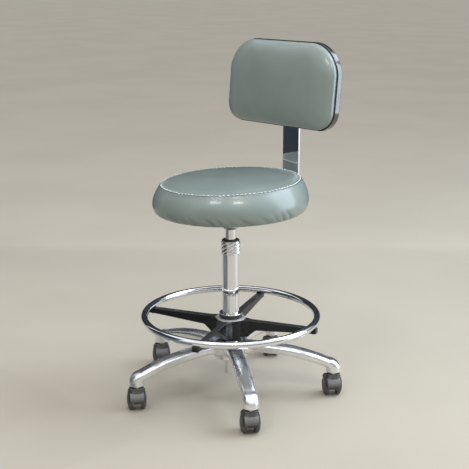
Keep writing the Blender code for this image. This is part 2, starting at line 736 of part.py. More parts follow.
def collar_mesh():
    """Make the sleeve with spiral ribs round the column's top."""
    points = COLLAR_RIBS * COLLAR_RIB_POINTS
    low = COLUMN_TOP - COLLAR_LENGTH
    inner = COLUMN_RADIUS + SEAT_GAP
    loops = []
    for step in range(COLLAR_STEPS + 1):
        t = step / COLLAR_STEPS
        rib = COLLAR_RIB if 0 < step < COLLAR_STEPS else 0.0
        loop = []
        for i in range(points):
            angle = math.tau * i / points
            wave = 0.5 + 0.5 * math.cos(COLLAR_RIBS * angle - COLLAR_TWIST * COLLAR_RIBS * t)
            radius = inner + COLLAR_WALL + rib * wave
            loop.append((radius * math.cos(angle), radius * math.sin(angle), low + COLLAR_LENGTH * t))
        loops.append(loop)
    for level in (COLUMN_TOP, low):
        loops.append([(x, y, level) for x, y in arc_points((0.0, 0.0), inner, 0.0, math.tau, points)[:-1]])
    return loft("collar", loops, ring=True)


def build_column(root, chrome, nylon, steel):
    """Add what stands still above the base: column, collar, guide bush and thrust bearing."""
    floor = SPIGOT_BOTTOM + SPIGOT_FLOOR
    step = SHOULDER + COLUMN_WALL
    hole = ROD_END_RADIUS + RUN_GAP
    column = turn("column", [
        (hole, SPIGOT_BOTTOM), (SPIGOT_RADIUS, SPIGOT_BOTTOM), (SPIGOT_RADIUS, SHOULDER),
        (COLUMN_RADIUS, SHOULDER), (COLUMN_RADIUS, COLUMN_TOP), (COLUMN_BORE, COLUMN_TOP),
        (COLUMN_BORE, step), (SPIGOT_BORE, step), (SPIGOT_BORE, floor), (hole, floor),
    ], FINE_SIDES)
    add_node("column_tube", column, chrome, root)
    add_node("column_collar", collar_mesh(), chrome, root)
    bush_wall = COLUMN_BORE - SEAT_GAP
    rim_low = COLUMN_TOP + SEAT_GAP
    bush = turn("bush", [
        (BUSH_BORE, COLUMN_TOP - BUSH_LENGTH), (bush_wall, COLUMN_TOP - BUSH_LENGTH), (bush_wall, rim_low),
        (COLUMN_RADIUS, rim_low), (COLUMN_RADIUS, BUSH_TOP), (BUSH_BORE, BUSH_TOP),
    ], FINE_SIDES)
    add_node("guide_bush", bush, nylon, root)
    bearing = tube(
        "bearing", ROD_END_RADIUS + RUN_GAP, SPIGOT_BORE - BEARING_SIDE_GAP,
        BEARING_BOTTOM, BEARING_BOTTOM + BEARING_THICKNESS, ROUND_SIDES,
    )
    add_node("thrust_bearing", bearing, steel, root)


def build_spindle(swivel, steel):
    """Add the piston rod that turns on the thrust bearing, and the clip that keeps it there."""
    end = SPIGOT_BOTTOM - ROD_END_DROP
    flange_top = ROD_FLANGE_BOTTOM + ROD_FLANGE_THICKNESS
    piston = CYLINDER_RADIUS - CYLINDER_WALL - RUN_GAP
    piston_top = PISTON_BOTTOM + PISTON_THICKNESS
    spindle = turn("spindle", [
        (0.0, end), (ROD_END_RADIUS, end), (ROD_END_RADIUS, ROD_FLANGE_BOTTOM),
        (ROD_FLANGE_RADIUS, ROD_FLANGE_BOTTOM), (ROD_FLANGE_RADIUS, flange_top), (ROD_RADIUS, flange_top),
        (ROD_RADIUS, PISTON_BOTTOM), (piston, PISTON_BOTTOM), (piston, piston_top), (0.0, piston_top),
    ], SMALL_SIDES)
    add_node("piston_rod", spindle, steel, swivel)
    clip_top = SPIGOT_BOTTOM - SEAT_GAP
    bore = ROD_END_RADIUS + SEAT_GAP
    clip = tube("clip", bore, bore + CLIP_WIDTH, clip_top - CLIP_THICKNESS, clip_top, SMALL_SIDES)
    add_node("rod_clip", clip, steel, swivel)


def cylinder_mesh():
    """Make the gas cylinder, open for the rod below and for the valve pin above."""
    inner = CYLINDER_RADIUS - CYLINDER_WALL
    rod_hole = ROD_RADIUS + RUN_GAP
    pin_hole = VALVE_PIN_RADIUS + RUN_GAP
    return turn("cylinder", [
        (rod_hole, CYLINDER_BOTTOM), (CYLINDER_RADIUS, CYLINDER_BOTTOM), (CYLINDER_RADIUS, CYLINDER_TOP),
        (pin_hole, CYLINDER_TOP), (pin_hole, CYLINDER_TOP - CYLINDER_CROWN),
        (inner, CYLINDER_TOP - CYLINDER_CROWN), (inner, CYLINDER_BOTTOM + CYLINDER_SEAL),
        (rod_hole, CYLINDER_BOTTOM + CYLINDER_SEAL),
    ], ROUND_SIDES)


def bolt_places():
    """List the seat bolts' places in plan."""
    edges = (-PLATE_FRONT + BOLT_EDGE, PLATE_BACK - BOLT_EDGE)
    return [(side * BOLT_X, y) for y in edges for side in (-1, 1)]


def plate_mesh():
    """Make the welded seat plate: a flat plate, a tapered-socket hub and two lever ears."""
    depth = PLATE_FRONT + PLATE_BACK
    outline = rounded_outline(2 * PLATE_HALF_WIDTH, depth, PLATE_CORNER, PLATE_CORNER, PLATE_CORNER_POINTS)
    plate = moved(prism("plate", outline, PLATE_BOTTOM, PLATE_TOP), y=(PLATE_BACK - PLATE_FRONT) / 2)
    weld = PLATE_BOTTOM + PLATE_THICKNESS / 2
    hub = turn("hub", [
        (0.0, SEAT_HUB_BOTTOM), (SEAT_HUB_RADIUS - SEAT_HUB_CHAMFER, SEAT_HUB_BOTTOM),
        (SEAT_HUB_RADIUS, SEAT_HUB_BOTTOM + SEAT_HUB_CHAMFER), (SEAT_HUB_RADIUS, weld), (0.0, weld),
    ], FINE_SIDES)
    inside = LEVER_BOSS_LENGTH / 2 + RUN_GAP
    ears = []
    for low in (inside, -inside - EAR_THICKNESS):
        ears.append(box(
            "ear", (-LEVER_PIVOT - EAR_WIDTH / 2, low, PLATE_BOTTOM - EAR_DROP),
            (-LEVER_PIVOT + EAR_WIDTH / 2, low + EAR_THICKNESS, weld),
        ))
    solid = fuse(plate, hub, *ears)
    socket = rod("socket", CYLINDER_RADIUS + SEAT_GAP, SEAT_HUB_BOTTOM - SEAT_GAP, PLATE_BOTTOM, ROUND_SIDES)
    slot_half = LEVER_RADIUS + 2 * RUN_GAP
    slot = box("slot", (-LEVER_PIVOT, -slot_half, CYLINDER_TOP), (0.0, slot_half, PLATE_BOTTOM))
    reach = inside + 2 * EAR_THICKNESS
    pivot = along_y(rod("pivot", TRUNNION_RADIUS + SEAT_GAP, -reach, reach, PIN_SIDES))
    moved(pivot, x=-LEVER_PIVOT, z=LEVER_HEIGHT)
    holes = []
    for x, y in bolt_places():
        hole = rod("hole", BOLT_RADIUS + SEAT_GAP, PLATE_BOTTOM - SEAT_GAP, PLATE_TOP + SEAT_GAP, PIN_SIDES)
        holes.append(moved(hole, x, y))
    return carve(solid, socket, slot, pivot, *holes)


def board_mesh():
    """Make the plywood seat board with its bolt holes."""
    board = rod("board", BOARD_RADIUS, BOARD_BOTTOM, BOARD_TOP, SEAT_SIDES)
    holes = []
    for x, y in bolt_places():
        top = BOARD_TOP - BOLT_COVER + SEAT_GAP
        hole = rod("hole", BOLT_RADIUS + SEAT_GAP, BOARD_BOTTOM - SEAT_GAP, top, PIN_SIDES)
        holes.append(moved(hole, x, y))
    return carve(board, *holes)


def bolt_mesh():
    """Make one hexagon-headed seat bolt."""
    seat = PLATE_BOTTOM - SEAT_GAP
    head = rod("head", BOLT_HEAD_RADIUS, seat - BOLT_HEAD_HEIGHT, seat, HEX_SIDES)
    shank = rod("shank", BOLT_RADIUS, seat - BOLT_HEAD_HEIGHT / 2, BOARD_TOP - BOLT_COVER, PIN_SIDES)
    return fuse(head, shank)


def cushion_mesh():
    """Make the round cushion: crowned top, sewn seam, bulging side and a tuck under the board."""
    base = BOARD_BOTTOM
    seam_radius = SEAT_RADIUS - CUSHION_SEAM_INSET
    seam = base + CUSHION_SEAM_HEIGHT
    bulge = base + CUSHION_BULGE_HEIGHT
    crown = base + CUSHION_HEIGHT
    foot = SEAT_RADIUS - CUSHION_FOOT_INSET
    under = base - SEAT_GAP - CUSHION_SKIN
    outer = []
    for t in CUSHION_CROWN_STATIONS:
        rise = seam + CUSHION_SEAM_WIDTH / 2 + (crown - seam) * (1 - t * t)
        outer.append((seam_radius * t, rise))
    outer.append((seam_radius - CUSHION_SEAM_WIDTH, seam + CUSHION_SEAM_WIDTH / 3))
    outer.append((seam_radius - CUSHION_SEAM_DEPTH, seam - CUSHION_SEAM_DEPTH))
    for i in range(CUSHION_SIDE_STEPS + 1):
        up = 1 - i / CUSHION_SIDE_STEPS
        side = SEAT_RADIUS - CUSHION_SEAM_INSET * up ** CUSHION_SIDE_POWER
        outer.append((side, bulge + (seam - bulge) * up))
    for i in range(1, CUSHION_FOOT_STEPS + 1):
        angle = math.pi / 2 * i / CUSHION_FOOT_STEPS
        drop = (bulge - under + CUSHION_DROOP) * math.sin(angle)
        outer.append((foot + (SEAT_RADIUS - foot) * math.cos(angle), bulge - drop))
    pocket = BOARD_RADIUS + SEAT_GAP
    lip = BOARD_RADIUS - CUSHION_TUCK
    inner = [
        (lip, under), (lip, base - SEAT_GAP), (pocket, base - SEAT_GAP),
        (pocket, BOARD_TOP + SEAT_GAP), (0.0, BOARD_TOP + SEAT_GAP),
    ]
    return turn("cushion", outer + inner, SEAT_SIDES)


def guide_mesh():
    """Make the folded guide that holds the flat bar under the plate, with the knob's nut boss."""
    top = PLATE_BOTTOM - SEAT_GAP
    inside, outside = GUIDE_HALF_WIDTH, GUIDE_HALF_WIDTH + GUIDE_WALL
    half = [
        (inside, GUIDE_FLOOR), (inside, top), (GUIDE_OUTER, top), (GUIDE_OUTER, top - GUIDE_WALL),
        (outside, top - GUIDE_WALL), (outside, GUIDE_FLOOR - GUIDE_WALL),
    ]
    outline = half + [(-x, z) for x, z in reversed(half)]
    loops = [[(x, y, z) for x, z in outline] for y in (GUIDE_FROM, GUIDE_FROM + GUIDE_LENGTH)]
    low = GUIDE_FLOOR - GUIDE_WALL - GUIDE_NUT_HEIGHT
    nut = moved(rod("nut", GUIDE_NUT_RADIUS, low, GUIDE_FLOOR - GUIDE_WALL / 2, SMALL_SIDES), y=GUIDE_KNOB_Y)
    hole = rod("hole", STUD_RADIUS + SEAT_GAP, low - SEAT_GAP, GUIDE_FLOOR + RUN_GAP, PIN_SIDES)
    return carve(fuse(loft("guide", loops), nut), moved(hole, y=GUIDE_KNOB_Y))


def build_seat(lift, finishes):
    """Add the seat and the gas cylinder that is wedged in its hub."""
    add_node("gas_cylinder", cylinder_mesh(), finishes["chrome"], lift)
    add_node("seat_plate", plate_mesh(), finishes["steel"], lift)
    add_node("bar_guide", guide_mesh(), finishes["steel"], lift)
    add_node("seat_board", board_mesh(), finishes["wood"], lift)
    add_node("seat_cushion", cushion_mesh(), finishes["vinyl"], lift)
    bolt = bolt_mesh()
    for number, (x, y) in enumerate(bolt_places(), start=1):
        add_node(f"seat_bolt_{number}", bolt, finishes["steel"], lift).location = (x, y, 0.0)


def build_release(lift, steel, nylon):
    """Add the valve pin and the lever that presses it."""
    valve = add_axis("valve_axis", lift)
    pin = rod("pin", VALVE_PIN_RADIUS, VALVE_PIN_TOP - VALVE_PIN_LENGTH, VALVE_PIN_TOP, PIN_SIDES)
    add_node("valve_pin", pin, steel, valve)
    pivot = add_axis("lever_axis", lift, (-LEVER_PIVOT, 0.0, LEVER_HEIGHT))
    end = Vector((LEVER_PIVOT - LEVER_REACH, 0.0, -LEVER_DROP))
    route = [
        Vector((LEVER_PIVOT + LEVER_TONGUE, 0.0, 0.0)), Vector((0.0, 0.0, 0.0)),
        Vector((-LEVER_KNEE, 0.0, -LEVER_DROP * LEVER_KNEE / LEVER_REACH / 2)), end,
    ]
    loops = []
    for i, point in enumerate(route):
        ahead = route[min(i + 1, len(route) - 1)] - route[max(i - 1, 0)]
        ahead.normalize()
        up = Vector((ahead.z, 0.0, -ahead.x))
        circle = arc_points((0.0, 0.0), LEVER_RADIUS, 0.0, math.tau, LEVER_SIDES)[:-1]
        loops.append([point + up * s + Vector((0.0, c, 0.0)) for c, s in circle])
    half = LEVER_BOSS_LENGTH / 2
    boss = along_y(rod("boss", LEVER_BOSS_RADIUS, -half, half, SMALL_SIDES))
    reach = half + RUN_GAP + EAR_THICKNESS
    trunnion = along_y(rod("trunnion", TRUNNION_RADIUS, -reach, reach, PIN_SIDES))
    add_node("release_lever", fuse(loft("lever", loops), boss, trunnion), steel, pivot)
    slope = math.atan2(LEVER_DROP, LEVER_REACH - LEVER_PIVOT - LEVER_KNEE)
    outline = rounded_outline(GRIP_LENGTH, GRIP_WIDTH, GRIP_CORNER, GRIP_CORNER, GRIP_CORNER_POINTS)
    paddle = prism("paddle", outline, -GRIP_HEIGHT / 2, GRIP_HEIGHT / 2)
    moved(paddle, x=GRIP_OVERLAP - GRIP_LENGTH / 2)
    paddle.transform(Matrix.Rotation(-slope, 4, "Y"))
    moved(paddle, end.x, end.y, end.z)
    socket_loops = []
    grown = LEVER_RADIUS + SEAT_GAP
    tip = (route[-1] - route[-2]).normalized()
    up = Vector((tip.z, 0.0, -tip.x))
    for point in (route[-1] + tip * SEAT_GAP, route[-1] - tip * (GRIP_OVERLAP + GRIP_HEIGHT)):
        circle = arc_points((0.0, 0.0), grown, 0.0, math.tau, LEVER_SIDES)[:-1]
        socket_loops.append([point + up * s + Vector((0.0, c, 0.0)) for c, s in circle])
    add_node("lever_grip", carve(paddle, loft("grip_socket", socket_loops)), nylon, pivot)


def knob_mesh(stud_length):
    """Make a lobed clamp knob below the origin, with its stud up +Z to the given height."""
    points = KNOB_LOBES * KNOB_LOBE_POINTS
    outline = []
    for i in range(points):
        angle = math.tau * i / points
        radius = KNOB_RADIUS - KNOB_LOBE_DEPTH * (0.5 - 0.5 * math.cos(KNOB_LOBES * angle))
        outline.append((radius * math.cos(angle), radius * math.sin(angle)))
    head = prism("head", outline, -KNOB_HEIGHT, 0.0)
    return fuse(head, rod("stud", STUD_RADIUS, -KNOB_HEIGHT / 2, stud_length, PIN_SIDES))


def build_bar(lift, chrome, nylon):
    """Add the bent flat bar and the knob that clamps it under the seat."""
    clamp_low = GUIDE_FLOOR - GUIDE_WALL - GUIDE_NUT_HEIGHT - KNOB_STANDOFF
    bar_low = BAR_HEIGHT - BAR_THICKNESS / 2
    knob_axis = add_axis("depth_knob_axis", lift, (0.0, GUIDE_KNOB_Y, clamp_low))
    add_node("depth_knob", knob_mesh(bar_low - SEAT_GAP - clamp_low), nylon, knob_axis)
    slide = add_axis("bar_axis", lift)
    half_width, half = BAR_WIDTH / 2, BAR_THICKNESS / 2
    bend = (BAR_REACH - BAR_BEND_RADIUS, BAR_HEIGHT + BAR_BEND_RADIUS)
    stations = [((BAR_START, BAR_HEIGHT), -math.pi / 2)]
    for i in range(BAR_BEND_STEPS + 1):
        angle = -math.pi / 2 + math.pi / 2 * i / BAR_BEND_STEPS
        place = (bend[0] + BAR_BEND_RADIUS * math.cos(angle), bend[1] + BAR_BEND_RADIUS * math.sin(angle))
        stations.append((place, angle))
    stations.append(((BAR_REACH, BACK_CENTRE + BAR_TOP), 0.0))
    loops = []
    for (y, z), angle in stations:
        out = (math.cos(angle) * half, math.sin(angle) * half)
        loops.append([
            (-half_width, y - out[0], z - out[1]), (half_width, y - out[0], z - out[1]),
            (half_width, y + out[0], z + out[1]), (-half_width, y + out[0], z + out[1]),
        ])
    add_node("back_bar", loft("bar", loops), chrome, slide)
    return slide


def back_loop(inset, depth):
    """List one loop of the backrest's outline, set in from the shell's edge, at a depth along Y."""
    width = PAD_WIDTH + 2 * (SHELL_LIP - inset)
    height = PAD_HEIGHT + 2 * (SHELL_LIP - inset)
    least = PAD_BOTTOM_CORNER / 4
    top = max(PAD_TOP_CORNER + SHELL_LIP - inset, least)
    bottom = max(PAD_BOTTOM_CORNER + SHELL_LIP - inset, least)
    outline = rounded_outline(width, height, top, bottom, PAD_CORNER_POINTS)
    return [(x, depth, z + BACK_CENTRE) for x, z in outline]


def shell_mesh():
    """Make the moulded back shell: a dish with a rolled rim and a flat floor."""
    rim_back = SHELL_FRONT + SHELL_RIM_DEPTH
    middle = SHELL_BACK_INSET / 3
    shoulder = rim_back + SHELL_BACK_DEPTH * SHELL_ROUNDING
    return loft("shell", [
        back_loop(SHELL_BACK_INSET, SHELL_BACK), back_loop(middle, shoulder), back_loop(0.0, rim_back),
        back_loop(0.0, SHELL_FRONT), back_loop(SHELL_WALL, SHELL_FRONT),
        back_loop(SHELL_WALL, rim_back - SHELL_WALL / 2),
        back_loop(SHELL_WALL + middle, shoulder - SHELL_WALL),
        back_loop(SHELL_WALL / 2 + SHELL_BACK_INSET, SHELL_FLOOR),
    ])


def pad_mesh():
    """Make the back pad: seated in the shell, full at its edge, rolled over and crowned in front."""
    fit = SHELL_WALL + 2 * SEAT_GAP
    lip = SHELL_FRONT - SEAT_GAP
    side = lip - PAD_SIDE_DEPTH
    front = PAD_BACK - PAD_THICKNESS
    roll = (side - front) - PAD_CROWN
    loops = [
        back_loop(fit + PAD_SEAT_DEPTH, PAD_BACK), back_loop(fit, lip + SHELL_WALL), back_loop(fit, lip),
    ]
    for i in range(PAD_ROLL_STEPS + 1):
        angle = math.pi / 2 * i / PAD_ROLL_STEPS
        inset = SHELL_LIP + PAD_ROLL_INSET * (1 - math.cos(angle))
        loops.append(back_loop(inset, side - roll * math.sin(angle)))
    middle = (SHELL_LIP + PAD_ROLL_INSET + PAD_CROWN_INSET) / 2
    loops.append(back_loop(middle, front + PAD_CROWN / 4))
    loops.append(back_loop(PAD_CROWN_INSET, front))
    return loft("pad", loops)


def reclined(mesh):
    """Lean a mesh that was made upright back about the middle of the shell's back."""
    centre = Matrix.Translation((0.0, SHELL_BACK, BACK_CENTRE))
    mesh.transform(centre @ Matrix.Rotation(-BACK_RECLINE, 4, "X") @ centre.inverted())
    return mesh


def screw_places():
    """List the two sleeve screws' places as (x, z) before the recline."""
    return [(side * SLEEVE_SCREW_X, BACK_CENTRE) for side in (-1, 1)]


def y_holes(places, radius, front, back):
    """Make one cutter along Y for each (x, z) place."""
    return [moved(along_y(rod("hole", radius, front, back, PIN_SIDES)), x=x, z=z) for x, z in places]


def sleeve_mesh():
    """Make the sleeve that slides on the bar, with a front that leans back with the shell."""
    low, high = BACK_CENTRE - SLEEVE_BELOW, BACK_CENTRE + SLEEVE_ABOVE
    spare = SLEEVE_BACK - SLEEVE_FRONT
    body = box(
        "body", (-SLEEVE_HALF_WIDTH, SLEEVE_FRONT, low - spare),
        (SLEEVE_HALF_WIDTH, SLEEVE_BACK + spare, high + spare),
    )
    wide = SLEEVE_HALF_WIDTH + SLEEVE_FLANGE
    tall = SLEEVE_FLANGE_HEIGHT / 2
    flange = box(
        "flange", (-wide, SLEEVE_FRONT, BACK_CENTRE - tall),
        (wide, SLEEVE_FRONT + SLEEVE_FLANGE_THICKNESS, BACK_CENTRE + tall),
    )
    hole = SLEEVE_SCREW_RADIUS + SEAT_GAP
    screws = y_holes(screw_places(), hole, SLEEVE_FRONT - SLEEVE_SEAT, SLEEVE_BACK)
    envelope = box("envelope", (-wide - spare, SLEEVE_FRONT - spare, low), (wide + spare, SLEEVE_BACK, high))
    sleeve = trim(reclined(carve(fuse(body, flange), *screws)), envelope)
    slot = box(
        "slot", (-GUIDE_HALF_WIDTH, SLOT_FRONT, low - RUN_GAP),
        (GUIDE_HALF_WIDTH, SLOT_BACK, high + RUN_GAP),
    )
    knob_place = (0.0, BACK_CENTRE - SLEEVE_KNOB_BELOW)
    stud = y_holes([knob_place], STUD_RADIUS + SEAT_GAP, BAR_REACH, SLEEVE_BACK * 2)
    return carve(sleeve, slot, *stud)


def build_backrest(slide, finishes):
    """Add the backrest and the knob that clamps it at its height on the bar."""
    rest = add_axis("backrest_axis", slide)
    hole = SLEEVE_SCREW_RADIUS + SEAT_GAP
    tip = BACK_BOARD_FRONT + SLEEVE_SCREW_COVER
    shell = carve(shell_mesh(), *y_holes(screw_places(), hole, BACK_BOARD_FRONT, SLEEVE_BACK))
    add_node("back_shell", reclined(shell), finishes["gloss_black"], rest)
    board_inset = SHELL_BACK_INSET + SHELL_WALL / 2 + BACK_BOARD_INSET
    board = loft("board", [back_loop(board_inset, y) for y in (BACK_BOARD_FRONT, BACK_BOARD_BACK)])
    board = carve(board, *y_holes(screw_places(), hole, tip - SEAT_GAP, SLEEVE_BACK))
    add_node("back_board", reclined(board), finishes["wood"], rest)
    add_node("back_cushion", reclined(pad_mesh()), finishes["vinyl"], rest)
    add_node("bar_sleeve", sleeve_mesh(), finishes["black"], rest)
    seat = SLEEVE_FRONT + SLEEVE_FLANGE_THICKNESS + SEAT_GAP
    for number, (x, z) in enumerate(screw_places(), start=1):
        head = rod("head", SLEEVE_SCREW_HEAD_RADIUS, seat, seat + SLEEVE_SCREW_HEAD_HEIGHT, PIN_SIDES)
        shank = rod("shank", SLEEVE_SCREW_RADIUS, tip, seat + SLEEVE_SCREW_HEAD_HEIGHT / 2, PIN_SIDES)
        screw = reclined(moved(along_y(fuse(head, shank)), x=x, z=z))
        add_node(f"sleeve_screw_{number}", screw, finishes["steel"], rest)
    clamp = SLEEVE_BACK + KNOB_STANDOFF
    axis = add_axis("height_knob_axis", rest, (0.0, clamp, BACK_CENTRE - SLEEVE_KNOB_BELOW))
    reach = clamp - (BAR_REACH + BAR_THICKNESS / 2 + SEAT_GAP)
    knob = knob_mesh(reach)
    knob.transform(Matrix.Rotation(math.pi / 2, 4, "X"))
    add_node("height_knob", knob, finishes["black"], axis)


def torus_mesh(radius, grow):
    """Make the foot ring's tube, or its cutter when grown."""
    loops = []
    for i in range(RING_STEPS):
        angle = math.tau * i / RING_STEPS
        section = arc_points((radius, RING_HEIGHT), RING_TUBE + grow, 0.0, math.tau, RING_SIDES)[:-1]
        loops.append([(r * math.cos(angle), r * math.sin(angle), z) for r, z in section])
    return loft("ring", loops, ring=True)


def along(stops, x):
    """Read a value between stops of (place, value), in a straight line from one to the next."""
    for (start, first), (stop, last) in zip(stops, stops[1:]):
        if x <= stop:
            return first + (last - first) * (x - start) / (stop - start)
    return stops[-1][1]


def arm_mesh():
    """Make one spider arm along +X: deep and wide at the hub, stepped up and thin under the ring."""
    inside = (SPIDER_BORE + SPIDER_RADIUS) / 2
    narrow = SPIDER_RADIUS + ARM_ROOT_REACH
    depths = [
        (inside, ARM_ROOT_DEPTH), (SPIDER_RADIUS + ARM_STEP_FROM, ARM_ROOT_DEPTH),
        (SPIDER_RADIUS + ARM_STEP_TO, ARM_NECK_DEPTH), (RING_RADIUS - RING_TUBE, ARM_TIP_DEPTH),
        (ARM_TIP, ARM_TIP_DEPTH),
    ]
    halves = [
        (inside, ARM_ROOT_THICKNESS / 2), (narrow, ARM_THICKNESS / 2), (ARM_TIP, ARM_THICKNESS / 2),
    ]
    loops = []
    for x in sorted({place for place, _ in depths + halves}):
        half = along(halves, x)
        low = SPIDER_TOP - along(depths, x)
        loops.append([(x, -half, low), (x, half, low), (x, half, SPIDER_TOP), (x, -half, SPIDER_TOP)])
    return loft("arm", loops)


def build_foot_ring(ring_slide, chrome, black, steel):
    """Add the foot ring: collet on the column, four-armed spider, chrome tube and its screws."""
    crown = SPIDER_TOP + SPIDER_EDGE
    hub = turn("hub", [
        (SPIDER_BORE, SPIDER_BOTTOM), (SPIDER_RADIUS, SPIDER_BOTTOM), (SPIDER_RADIUS, SPIDER_TOP),
        (SPIDER_RADIUS - SPIDER_EDGE, crown), (SPIDER_BORE, crown),
    ], FINE_SIDES)
    angles = [FIRST_ARM_ANGLE + math.tau * i / ARM_COUNT for i in range(ARM_COUNT)]
    screw_low = SPIDER_TOP - ARM_TIP_DEPTH - SEAT_GAP
    screw_top = RING_HEIGHT - RING_TUBE / 4
    reach = RING_SCREW_RADIUS + SEAT_GAP
    spider = fuse(hub, *[turned(arm_mesh(), angle) for angle in angles])
    drills = []
    for angle in angles:
        drill = rod("drill", reach, screw_low - SEAT_GAP, screw_top + SEAT_GAP, PIN_SIDES)
        drills.append(turned(moved(drill, x=RING_RADIUS), angle))
    ring = torus_mesh(RING_RADIUS, 0.0)
    add_node("foot_ring", carve(ring, *[drill.copy() for drill in drills]), chrome, ring_slide)
    add_node("ring_spider", carve(spider, torus_mesh(RING_RADIUS, SEAT_GAP), *drills), black, ring_slide)
    step_low = crown + SEAT_GAP
    step_top = step_low + COLLET_STEP_HEIGHT
    rim_top = step_top + COLLET_RIM_HEIGHT
    foot = SPIDER_BOTTOM + COLLET_FOOT
    step_radius = COLLET_RADIUS + COLLET_STEP_WIDTH
    rim_radius = COLLET_RADIUS + COLLET_RIM_WIDTH
    collet = turn("collet", [
        (COLLET_BORE, foot), (COLLET_RADIUS, foot), (COLLET_RADIUS, step_low),
        (step_radius, step_low), (step_radius, step_top), (rim_radius, step_top),
        (rim_radius, rim_top), (COLLET_BORE, rim_top),
    ], FINE_SIDES)
    add_node("ring_collet", collet, black, ring_slide)
    head = rod("head", RING_SCREW_HEAD_RADIUS, screw_low - RING_SCREW_HEAD_HEIGHT, screw_low, PIN_SIDES)
    shank = rod("shank", RING_SCREW_RADIUS, screw_low - RING_SCREW_HEAD_HEIGHT / 2, screw_top, PIN_SIDES)
    screw = fuse(head, shank)
    for number, angle in enumerate(angles, start=1):
        node = add_node(f"ring_screw_{number}", screw, steel, ring_slide)
        node.location = (RING_RADIUS * math.cos(angle), RING_RADIUS * math.sin(angle), 0.0)


def centre_on_floor(root):
    """Move the stool so that its box stands on the floor, centred on the origin."""
    bpy.context.view_layer.update()
    corners = []
    for item in bpy.data.objects:
        if item.type == "MESH":
            corners += [item.matrix_world @ vertex.co for vertex in item.data.vertices]
    for axis in range(2):
        values = [corner[axis] for corner in corners]
        root.location[axis] = -(min(values) + max(values)) / 2
    root.location.z = -min(corner.z for corner in corners)


def main():
    """Build the whole stool."""
    clear_scene()
    finishes = {
        "aluminium": make_material("polished_aluminium", (0.72, 0.72, 0.73), 0.22, 1.0),
        "chrome": make_material("chrome", (0.80, 0.80, 0.81), 0.06, 1.0),
        "steel": make_material("zinc_steel", (0.55, 0.56, 0.57), 0.35, 1.0),
        "black": make_material("black_casting", (0.020, 0.020, 0.021), 0.30, 0.0),
        "gloss_black": make_material("gloss_black_shell", (0.012, 0.012, 0.014), 0.12, 0.0),
        "nylon": make_material("black_nylon", (0.035, 0.035, 0.035), 0.45, 0.0),
        "tread": make_material("wheel_nylon", (0.045, 0.043, 0.040), 0.55, 0.0),
        "wood": make_material("plywood", (0.45, 0.31, 0.18), 0.70, 0.0),
        "vinyl": make_material("grey_green_vinyl", (0.18, 0.235, 0.225), 0.38, 0.0),
    }
    root = add_axis("stool", None)
    build_casters(root, finishes["nylon"], finishes["tread"], finishes["steel"])
    build_base(root, finishes["aluminium"])
    build_column(root, finishes["chrome"], finishes["nylon"], finishes["steel"])
    build_foot_ring(add_axis("ring_axis", root), finishes["chrome"], finishes["black"], finishes["steel"])
    swivel = add_axis("swivel_axis", root)
    build_spindle(swivel, finishes["steel"])
    lift = add_axis("lift_axis", swivel)
    build_seat(lift, finishes)
    build_release(lift, finishes["steel"], finishes["nylon"])
    slide = build_bar(lift, finishes["chrome"], finishes["nylon"])
    build_backrest(slide, finishes)
    centre_on_floor(root)


main()
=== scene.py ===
"""Looks of a medical rolling stool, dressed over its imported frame.

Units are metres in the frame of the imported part: +Z is up and the sitter faces -Y. Each sub-assembly is a
class that holds its sizes, builds its meshes and hands them to the workshop, which gives every piece its
finish and says which body of the frame it rides on. Depths of the backrest and places under the seat are
measured from the column's axis.
"""

import json
import logging
import math
from collections.abc import Callable, Iterable, Mapping, Sequence
from dataclasses import dataclass, field
from enum import Enum

import bmesh
import bpy
import numpy as np
from bpy.types import Material, Mesh, Node, NodeSocket, NodeTree, Object
from mathutils import Matrix, Vector

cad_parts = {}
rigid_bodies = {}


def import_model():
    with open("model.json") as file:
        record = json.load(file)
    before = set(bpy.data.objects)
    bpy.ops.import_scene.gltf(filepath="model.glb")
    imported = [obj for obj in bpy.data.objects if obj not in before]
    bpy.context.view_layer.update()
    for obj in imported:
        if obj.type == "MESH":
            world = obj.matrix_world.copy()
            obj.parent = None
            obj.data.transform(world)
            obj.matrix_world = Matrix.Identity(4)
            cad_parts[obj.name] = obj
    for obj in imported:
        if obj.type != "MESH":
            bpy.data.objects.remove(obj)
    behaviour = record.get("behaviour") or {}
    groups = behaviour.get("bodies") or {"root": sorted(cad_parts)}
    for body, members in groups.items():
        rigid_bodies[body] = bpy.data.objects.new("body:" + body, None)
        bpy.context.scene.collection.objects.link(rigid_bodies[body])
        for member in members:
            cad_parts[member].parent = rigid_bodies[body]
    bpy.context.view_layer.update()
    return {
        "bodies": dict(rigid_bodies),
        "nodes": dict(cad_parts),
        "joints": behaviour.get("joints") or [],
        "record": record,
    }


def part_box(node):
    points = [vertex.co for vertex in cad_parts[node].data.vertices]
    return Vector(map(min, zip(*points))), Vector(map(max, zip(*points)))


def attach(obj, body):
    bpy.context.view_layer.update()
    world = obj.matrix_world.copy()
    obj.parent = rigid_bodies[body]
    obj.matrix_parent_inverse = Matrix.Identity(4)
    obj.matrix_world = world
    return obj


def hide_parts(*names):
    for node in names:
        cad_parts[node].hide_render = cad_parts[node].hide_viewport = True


LOG = logging.getLogger("stool")
SHARP_EDGE = math.radians(35.0)
HEADING = math.radians(-37.0)
ROUND = 96
SMALL_ROUND = 32
POLE = 1e-7
TINY = 1e-12
LEGS = 5
FIRST_LEG = math.radians(37.5)
CASTER_CIRCLE = 0.275
DEPTH_KNOB = (0.0, 0.094, 0.4809)
DEPTH_STUD = 0.0127
HEIGHT_KNOB = (0.0, 0.2455, 0.7704)
HEIGHT_STUD = 0.0102

Pair = tuple[float, float]
Place = tuple[float, float, float]
Corner = tuple[float, float, float]
Colour = tuple[float, float, float]


